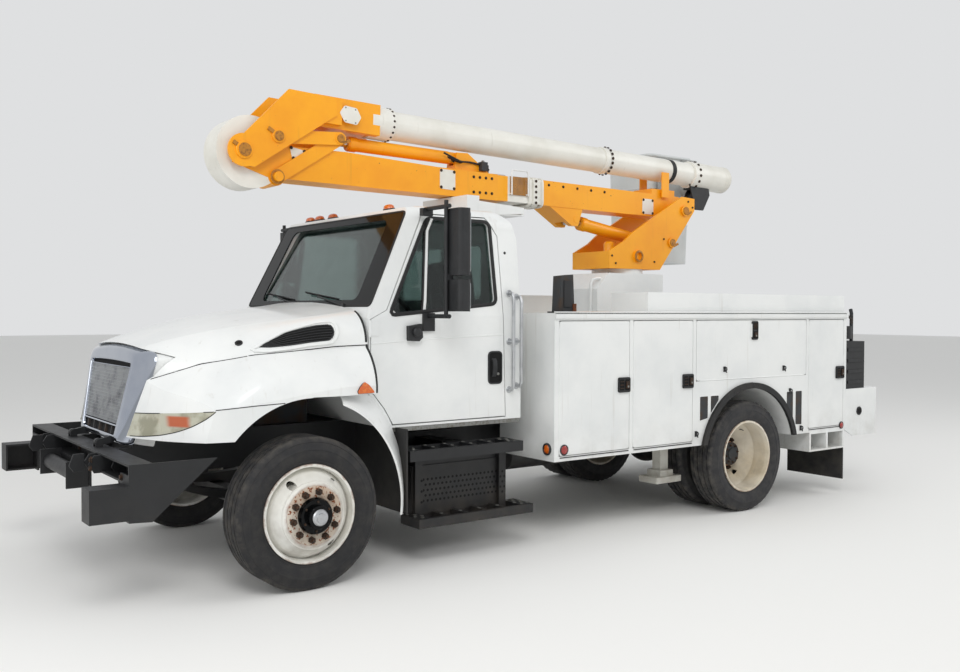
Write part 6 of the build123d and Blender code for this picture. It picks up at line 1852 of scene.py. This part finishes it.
    def links(self) -> list[Piece]:
        """Painted pin ends of the two elbow links and of the cylinders.

        Returns:
            One piece for each body.
        """
        made = []
        for name, body, pins in (
            ("link_b_pins", "link_b_body", ((1.630, 2.910, 0.1535, 0.030),)),
            ("link_a_pins", "link_a_body", ((2.110, 2.600, 0.1355, 0.0),)),
            ("turret_pins", "turret_body", ((-1.720, 2.302, 0.2505, 0.034), (-1.890, 2.602, 0.2555, 0.036),)),
        ):
            mesh = Mesher(name, body, angle=35)
            for x, z, y, radius in pins:
                for s in (1, -1):
                    if radius:
                        mesh.disc((x, s * y, z), (0, s, 0), radius + 0.012, 0.006, Look.AERIAL, 32)
                        mesh.disc((x, s * (y + 0.005), z), (0, s, 0), radius, 0.010, Look.PIN, 32)
                        mesh.box((x - 0.045, s * (y + 0.004), z - 0.02), (0.066, 0.008, 0.020), Look.PIN,
                                 Matrix.Rotation(0.4, 3, "Y"))
                    else:
                        mesh.lathe([(0.037, 0.0), (0.052, 0.0), (0.052, 0.004), (0.037, 0.004)], (x, s * y, z),
                                   (0, s, 0), Look.PIN, 32)
            made.append(mesh.build())
        return made

    def turret(self) -> list[Piece]:
        """Bearing bolts, pin rings, studs and the rotation motor on the turret's base.

        Returns:
            The bolts and the fittings.
        """
        bolts = Copies("bearing_bolts", "turret_body", 14)
        bolts.ring((-1.270, 0, 2.0785), (0, 0, 1), 0.205, 20)
        mesh = Mesher("turret_fittings", "turret_body", angle=35)
        for s in (1, -1):
            mesh.lathe([(0.034, 0), (0.052, 0), (0.052, 0.006), (0.046, 0.010), (0.036, 0.010), (0.034, 0.006)],
                       (-1.287, s * 0.2575, 2.163), (0, s, 0), Look.PIN, 32)
            for x, z in ((-0.975, 2.16), (-1.02, 2.095), (-1.50, 2.12), (-1.62, 2.33), (-1.94, 2.69), (-2.0, 2.64)):
                mesh.disc((x, s * 0.2395, z), (0, s, 0), 0.010, 0.008, Look.STUD, 6)
        mesh.lathe([(0, 0), (0.060, 0), (0.060, 0.10), (0.048, 0.12), (0.048, 0.20), (0.030, 0.215), (0, 0.215)],
                   (-1.100, 0.07, 2.078), (0, 0, 1), Look.AERIAL, 28)
        return [bolts.build(hex_bolt(0.013, 0.012, 0.018), Look.STUD, 1.0), mesh.build()]

    def tray(self) -> Piece:
        """The white rest tray that reaches back from the boom rest, with its hoop bars.

        Returns:
            The piece.
        """
        mesh = Mesher("boom_tray", "chassis", bevel=0.0015)
        wall = ((0.512, 2.440), (0.512, 2.545), (0.440, 2.552), (-0.060, 2.520), (-0.060, 2.470), (0.300, 2.440))
        for y in (-0.159, 0.151):
            mesh.prism([(x, y, z) for x, z in wall], (0, 0.008, 0), Look.BODY)
        mesh.box((0.220, 0.0, 2.448), (0.560, 0.310, 0.008), Look.BODY, Matrix.Rotation(0.03, 3, "Y"))
        for x in (-0.050, 0.120, 0.300, 0.480):
            mesh.box((x, 0.0, 2.472), (0.030, 0.306, 0.030), Look.BODY)
        return mesh.build()

    def build(self) -> list[Piece]:
        """Every fitting of the aerial device."""
        return self.upper() + self.lower() + self.links() + self.turret() + [self.tray()]


@dataclass
class Bucket:
    """Rolled lip, two ribs round its shell and the control box of the bucket."""

    centre: tuple[float, float] = (-2.400, -0.700)
    half: tuple[float, float] = (0.310, 0.300)
    top: float = 3.220

    def build(self) -> Piece:
        """The bucket's fittings as one piece.

        Returns:
            The piece.
        """
        mesh = Mesher("bucket_fittings", "bucket_body", angle=35)
        (cx, cy), (hx, hy) = self.centre, self.half
        lip = oblong((cx, cy, self.top), (hx, 0, 0), (0, hy, 0), 0.09, 6)
        mesh.tube(resample(lip, 0.03, True), 0.017, Look.GREY_GELCOAT, 10, closed=True)
        for z in (2.55, 2.90):
            inset = 0.025 - 0.025 * (z - 2.16) / 1.06
            rib = oblong((cx, cy, z), (hx - inset, 0, 0), (0, hy - inset, 0), 0.08, 6)
            mesh.tube(resample(rib, 0.04, True), 0.009, Look.GREY_GELCOAT, 8, closed=True)
        mesh.box((cx - hx + 0.10, cy + hy + 0.045, self.top - 0.075), (0.15, 0.080, 0.11), Look.GREY_PAINT)
        return mesh.build()


@dataclass
class Tail:
    """Lamps, hook, mast and step treads behind the body."""

    def build(self) -> list[Piece]:
        """The tail's fittings and the step's grip studs.

        Returns:
            The fittings and the studs.
        """
        mesh = Mesher("tail_fittings", "chassis", bevel=0.001)
        studs = Copies("tail_step_studs", "chassis", 15)
        for s in (1, -1):
            mesh.lamp((-3.299, s * 1.150, 0.748), (0, s, 0), (0.040, 0.032, 0.028, 0.006, 0.010),
                      (0.029, 0.006, 0.002), (Look.MOULDED, Look.JOINT_AND_SHADE), 28)
            for k, lens in enumerate((Look.RED, Look.RED, Look.GELCOAT)):
                mesh.lamp((-3.581, s * (0.78 + 0.13 * k), 0.800), (-1, 0, 0), (0.056, 0.048, 0.044, 0.008, 0.012),
                          (0.046, 0.008, 0.006), (Look.SEAL, lens))
            for k in range(12):
                studs.at((-3.58 - 0.03 * (k % 2), s * (0.77 + 0.05 * (k // 2)), 0.580), UP)
        mesh.tube([(-3.345, 1.030, 1.395), (-3.345, 1.030, 1.660), (-3.330, 1.030, 1.700)], 0.017, Look.IRON, 12)
        mesh.tube([(-3.345, 1.030, 1.600), (-3.290, 1.030, 1.640), (-3.250, 0.990, 1.640)], 0.010, Look.IRON, 8)
        for z in (1.02, 1.12, 1.22, 1.32):
            mesh.box((-3.250, 1.1385, z), (0.240, 0.008, 0.030), Look.MOULDED)
        hook = [(-3.560, 0.930, 0.860), (-3.630, 0.930, 0.872), (-3.668, 0.930, 0.840), (-3.676, 0.930, 0.795),
                (-3.650, 0.930, 0.765)]
        mesh.tube(resample(hook, 0.02), 0.020, Look.ALUMINIUM, 12)
        stud = ((0, -0.001), (0.010, -0.001), (0.010, 0.002), (0.006, 0.004), (0, 0.004))
        return [mesh.build(), studs.build(turned_piece(stud, Look.BODY), Look.BODY)]


@dataclass
class Seats:
    """Two padded cab seats with piping and fluted centres, in place of the CAD's plain blocks."""

    places: tuple[float, ...] = (0.52, -0.52)

    def cushion(self, name: str, centre: Point, size: Point, lean: float) -> Piece:
        """One soft pad: a subdivided block with flutes, pulled-in seams and crowned faces.

        Args:
            name: The piece's name.
            centre: Its middle.
            size: Its thickness, width and height before it leans.
            lean: Turn about Y, in radians.

        Returns:
            The piece.
        """
        rows, steps = 18, 40
        mesh = Mesher(name, "chassis", angle=70)
        turn, half = Matrix.Rotation(lean, 3, "Y"), Vector(size) / 2
        rings = []
        for j in range(rows + 1):
            v = -1 + 2 * j / rows
            pinch = (1 - abs(v) ** 5) ** 0.5 if abs(v) < 1 else 0.0
            ring = []
            for c, s in circle(1.0, steps):
                x, y = math.copysign(abs(c) ** 0.34, c), math.copysign(abs(s) ** 0.34, s)
                face = 0.0
                if x > 0.8:
                    face = 0.014 * (1 - y * y) * (1 - v * v)
                    if abs(y) < 0.62 and abs(v) < 0.86:
                        face += 0.010 * math.cos(y * math.pi * 4.0)
                    if 0.60 < abs(y) < 0.70:
                        face -= 0.010
                local = Vector((x * half.x * (0.55 + 0.45 * pinch) + face, y * half.y * (0.82 + 0.18 * pinch),
                                v * half.z))
                ring.append(Vector(centre) + turn @ local)
            rings.append(ring)
        mesh.loops(rings, Look.CLOTH)
        made = mesh.build()
        soft = made.modifiers.new("Soft", "SUBSURF")
        soft.levels = soft.render_levels = 1
        return made

    def build(self) -> list[Piece]:
        """Cushions, backs and bases on the CAD seats' places.

        Returns:
            Three pieces for each seat.
        """
        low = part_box("cab_seats")[0]
        x, z = low[0], low[2]
        made = []
        for side, y in zip(Side, self.places):
            pads = [self.cushion("seat_cushion_" + side.word, (x + 0.33, y, z + 0.36), (0.15, 0.50, 0.50),
                                 -math.pi / 2),
                    self.cushion("seat_back_" + side.word, (x + 0.12, y, z + 0.74), (0.14, 0.48, 0.68), 0.10)]
            base = Mesher("seat_base_" + side.word, "chassis", bevel=0.004)
            base.box((x + 0.32, y, z + 0.145), (0.40, 0.40, 0.29), Look.CABIN)
            base.box((x + 0.32, y, z + 0.015), (0.46, 0.44, 0.03), Look.MOULDED)
            made += pads + [base.build()]
        for piece in made:
            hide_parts("cab_seats")
        return made


@dataclass
class Dressing:
    """Finishes of the CAD nodes, by how a node's name starts; every other node is chassis enamel."""

    by_look: tuple[tuple[str, str], ...] = (
        ("FRONT_WHEEL", "front_wheel_"), ("REAR_WHEEL", "rear_wheels_"), ("FRONT_TYRE", "front_tyre_"),
        ("REAR_TYRE", "rear_tyres_"), ("CHROME", "grille"), ("LENS", "headlamps"), ("GLASS", "cab_glass door_glass_"),
        ("MOULDED", "mirror_"), ("CABIN", "dashboard"), ("CLOTH", "cab_seats"), ("ROD", "lower_rod upper_rod"),
        ("GELCOAT", "upper_boom_tube"), ("INSULATOR", "boom_fibreglass"), ("GREY_PAINT", "bucket_bracket"),
        ("GREY_GELCOAT", "bucket"), ("OUTRIGGER", "outrigger_"), ("FLAP", "rubber_guards"),
        ("IRON", "knuckle_ engine_block"),
        ("AERIAL", "turret lower_boom upper_boom_head elbow_link_ lower_cylinder upper_cylinder"),
        ("BODY", "cab_shell cab_door_ hood fenders service_body pedestal tail_shelf front_compartment_door "
                 "middle_compartment_door upper_compartment_door rear_compartment_door splash_panels"),
    )

    def build(self) -> int:
        """Give every CAD node its finish through its object's material slots.

        Returns:
            How many nodes were dressed.
        """
        for name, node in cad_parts.items():
            finish = next((getattr(Look, look) for look, starts in self.by_look
                           if name.startswith(tuple(starts.split()))), Look.CHASSIS)
            if not node.material_slots:
                node.data.materials.append(None)
            for entry in node.material_slots:
                entry.link = "OBJECT"
                entry.material = finish.material()
        return len(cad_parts)


@dataclass
class Studio:
    """Pale floor, pale surroundings and plain soft lights."""

    floor_colour: str = "F6F5F2"
    key_power: float = 500.0
    fill_power: float = 230.0

    def area(self, name: str, place: Point, target: Point, power: float) -> None:
        """Add one square soft light that looks at a point.

        Args:
            name: The light's name.
            place: Where it stands.
            target: The point that it looks at.
            power: Its power in watts.
        """
        data = bpy.data.lights.new(name, "AREA")
        data.shape, data.size, data.energy = "SQUARE", 5.0, power
        made = put(name, data)
        made.location = place
        made.rotation_euler = (Vector(target) - Vector(place)).to_track_quat("-Z", "Y").to_euler()

    def world(self) -> None:
        """Pale background for the camera, reflections and glass; softer light for the rest."""
        world = bpy.data.worlds.new("studio")
        world.use_nodes = True
        bpy.context.scene.world = world
        tree = world.node_tree
        tree.nodes.clear()
        path = add_node(tree, "ShaderNodeLightPath")
        soft, pale = (add_node(tree, "ShaderNodeBackground", {"Color": linear(code), "Strength": strength})
                      for code, strength in (("F6F8FA", 0.62), ("DFE0E1", 1.0)))
        seen = path.outputs["Is Camera Ray"]
        for ray in ("Is Transmission Ray", "Is Glossy Ray"):
            seen = add_node(tree, "ShaderNodeMath", {0: seen, 1: path.outputs[ray]}, operation="MAXIMUM").outputs[0]
        mixed = add_node(tree, "ShaderNodeMixShader", {0: seen, 1: soft.outputs[0], 2: pale.outputs[0]})
        add_node(tree, "ShaderNodeOutputWorld", {"Surface": mixed.outputs[0]})

    def floor(self) -> None:
        """A wide plain floor at the wheels' foot."""
        data = bpy.data.meshes.new("studio_floor")
        data.from_pydata([(-60, -60, 0), (60, -60, 0), (60, 60, 0), (-60, 60, 0)], [], [(0, 1, 2, 3)])
        paint = bpy.data.materials.new("plain_floor")
        paint.use_nodes = True
        shader = paint.node_tree.nodes["Principled BSDF"]
        shader.inputs["Base Color"].default_value = linear(self.floor_colour)
        shader.inputs["Roughness"].default_value = 0.9
        data.materials.append(paint)
        made = put("studio_floor", data)

    def build(self) -> None:
        """Set up the studio."""
        self.world()
        self.floor()
        self.area("key", (6.0, 9.0, 9.5), (0.0, 0.5, 1.2), self.key_power)
        self.area("front", (11.0, 2.0, 6.0), (2.0, 0.0, 1.2), self.fill_power)
        self.area("rear", (-9.0, 6.0, 7.0), (-1.0, 0.0, 1.5), self.fill_power)
        bpy.context.scene.view_settings.view_transform = "Standard"


@dataclass
class Camera:
    """The photograph's camera, in the truck's own frame."""

    place: Point = (5.01380664, 6.47851399, 1.68103468)
    yaw: float = -2.20287583
    pitch: float = -0.0263511172
    roll: float = 0.00304441811
    lens: float = 36.872

    def build(self) -> None:
        """Create the camera and make it the scene's."""
        ahead = Vector((math.cos(self.pitch) * math.cos(self.yaw), math.cos(self.pitch) * math.sin(self.yaw),
                        math.sin(self.pitch)))
        level = ahead.cross(Vector((0, 0, 1))).normalized()
        upright = level.cross(ahead)
        right = level * math.cos(self.roll) + upright * math.sin(self.roll)
        up = upright * math.cos(self.roll) - level * math.sin(self.roll)
        data = bpy.data.cameras.new("camera")
        data.lens, data.sensor_width, data.clip_end = self.lens, 36.0, 200.0
        data.dof.use_dof = False
        made = put("camera", data)
        turned = Matrix((right, up, -ahead)).transposed().to_4x4()
        turned.translation = Vector(self.place)
        made.matrix_world = turned
        bpy.context.scene.camera = made


def running_gear() -> list[Piece]:
    """Tyres, nuts and hubs of the four axle ends.

    Returns:
        The pieces, tyres first.
    """
    tyres, dress = [], []
    for side in Side:
        s, word = side.value, side.word
        front, rear = "front_wheel_body_" + word, "rear_wheel_body_" + word
        tyres += [Tyres(FRONT, (s * 1.061,), "front_tyre_" + word, front, Look.FRONT_TYRE),
                  Tyres(REAR, (s * 1.053, s * 0.717), "rear_tyres_" + word, rear, Look.REAR_TYRE, lugs=True)]
        dress += [WheelDress(side, FRONT, "front_wheel_" + word, front),
                  WheelDress(side, REAR, "rear_wheels_" + word, rear, front=False)]
    return [tyre.build() for tyre in tyres] + [piece for wheel in dress for piece in wheel.build()]


def main() -> None:
    """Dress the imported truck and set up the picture."""
    logging.basicConfig(level=logging.INFO, format="%(name)s: %(message)s")
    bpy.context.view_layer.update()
    log.info("finishes: %d nodes dressed", Dressing().build())
    for label, work in (("running gear", running_gear), ("grille", Grille().build),
                        ("hood", HoodTrim().build), ("cab", Cab().build), ("service body", ServiceBody().build),
                        ("steps", Steps().build), ("bumper", Bumper().build), ("aerial", Aerial().build),
                        ("bucket", lambda: [Bucket().build()]), ("tail", Tail().build), ("seats", Seats().build)):
        made = work()
        faces = sum(len(piece.data.polygons) for piece in made)
        log.info("%s: %d pieces, %d faces", label, len(made), faces)
    Studio().build()
    Camera().build()


if __name__ == "__main__":
    main()
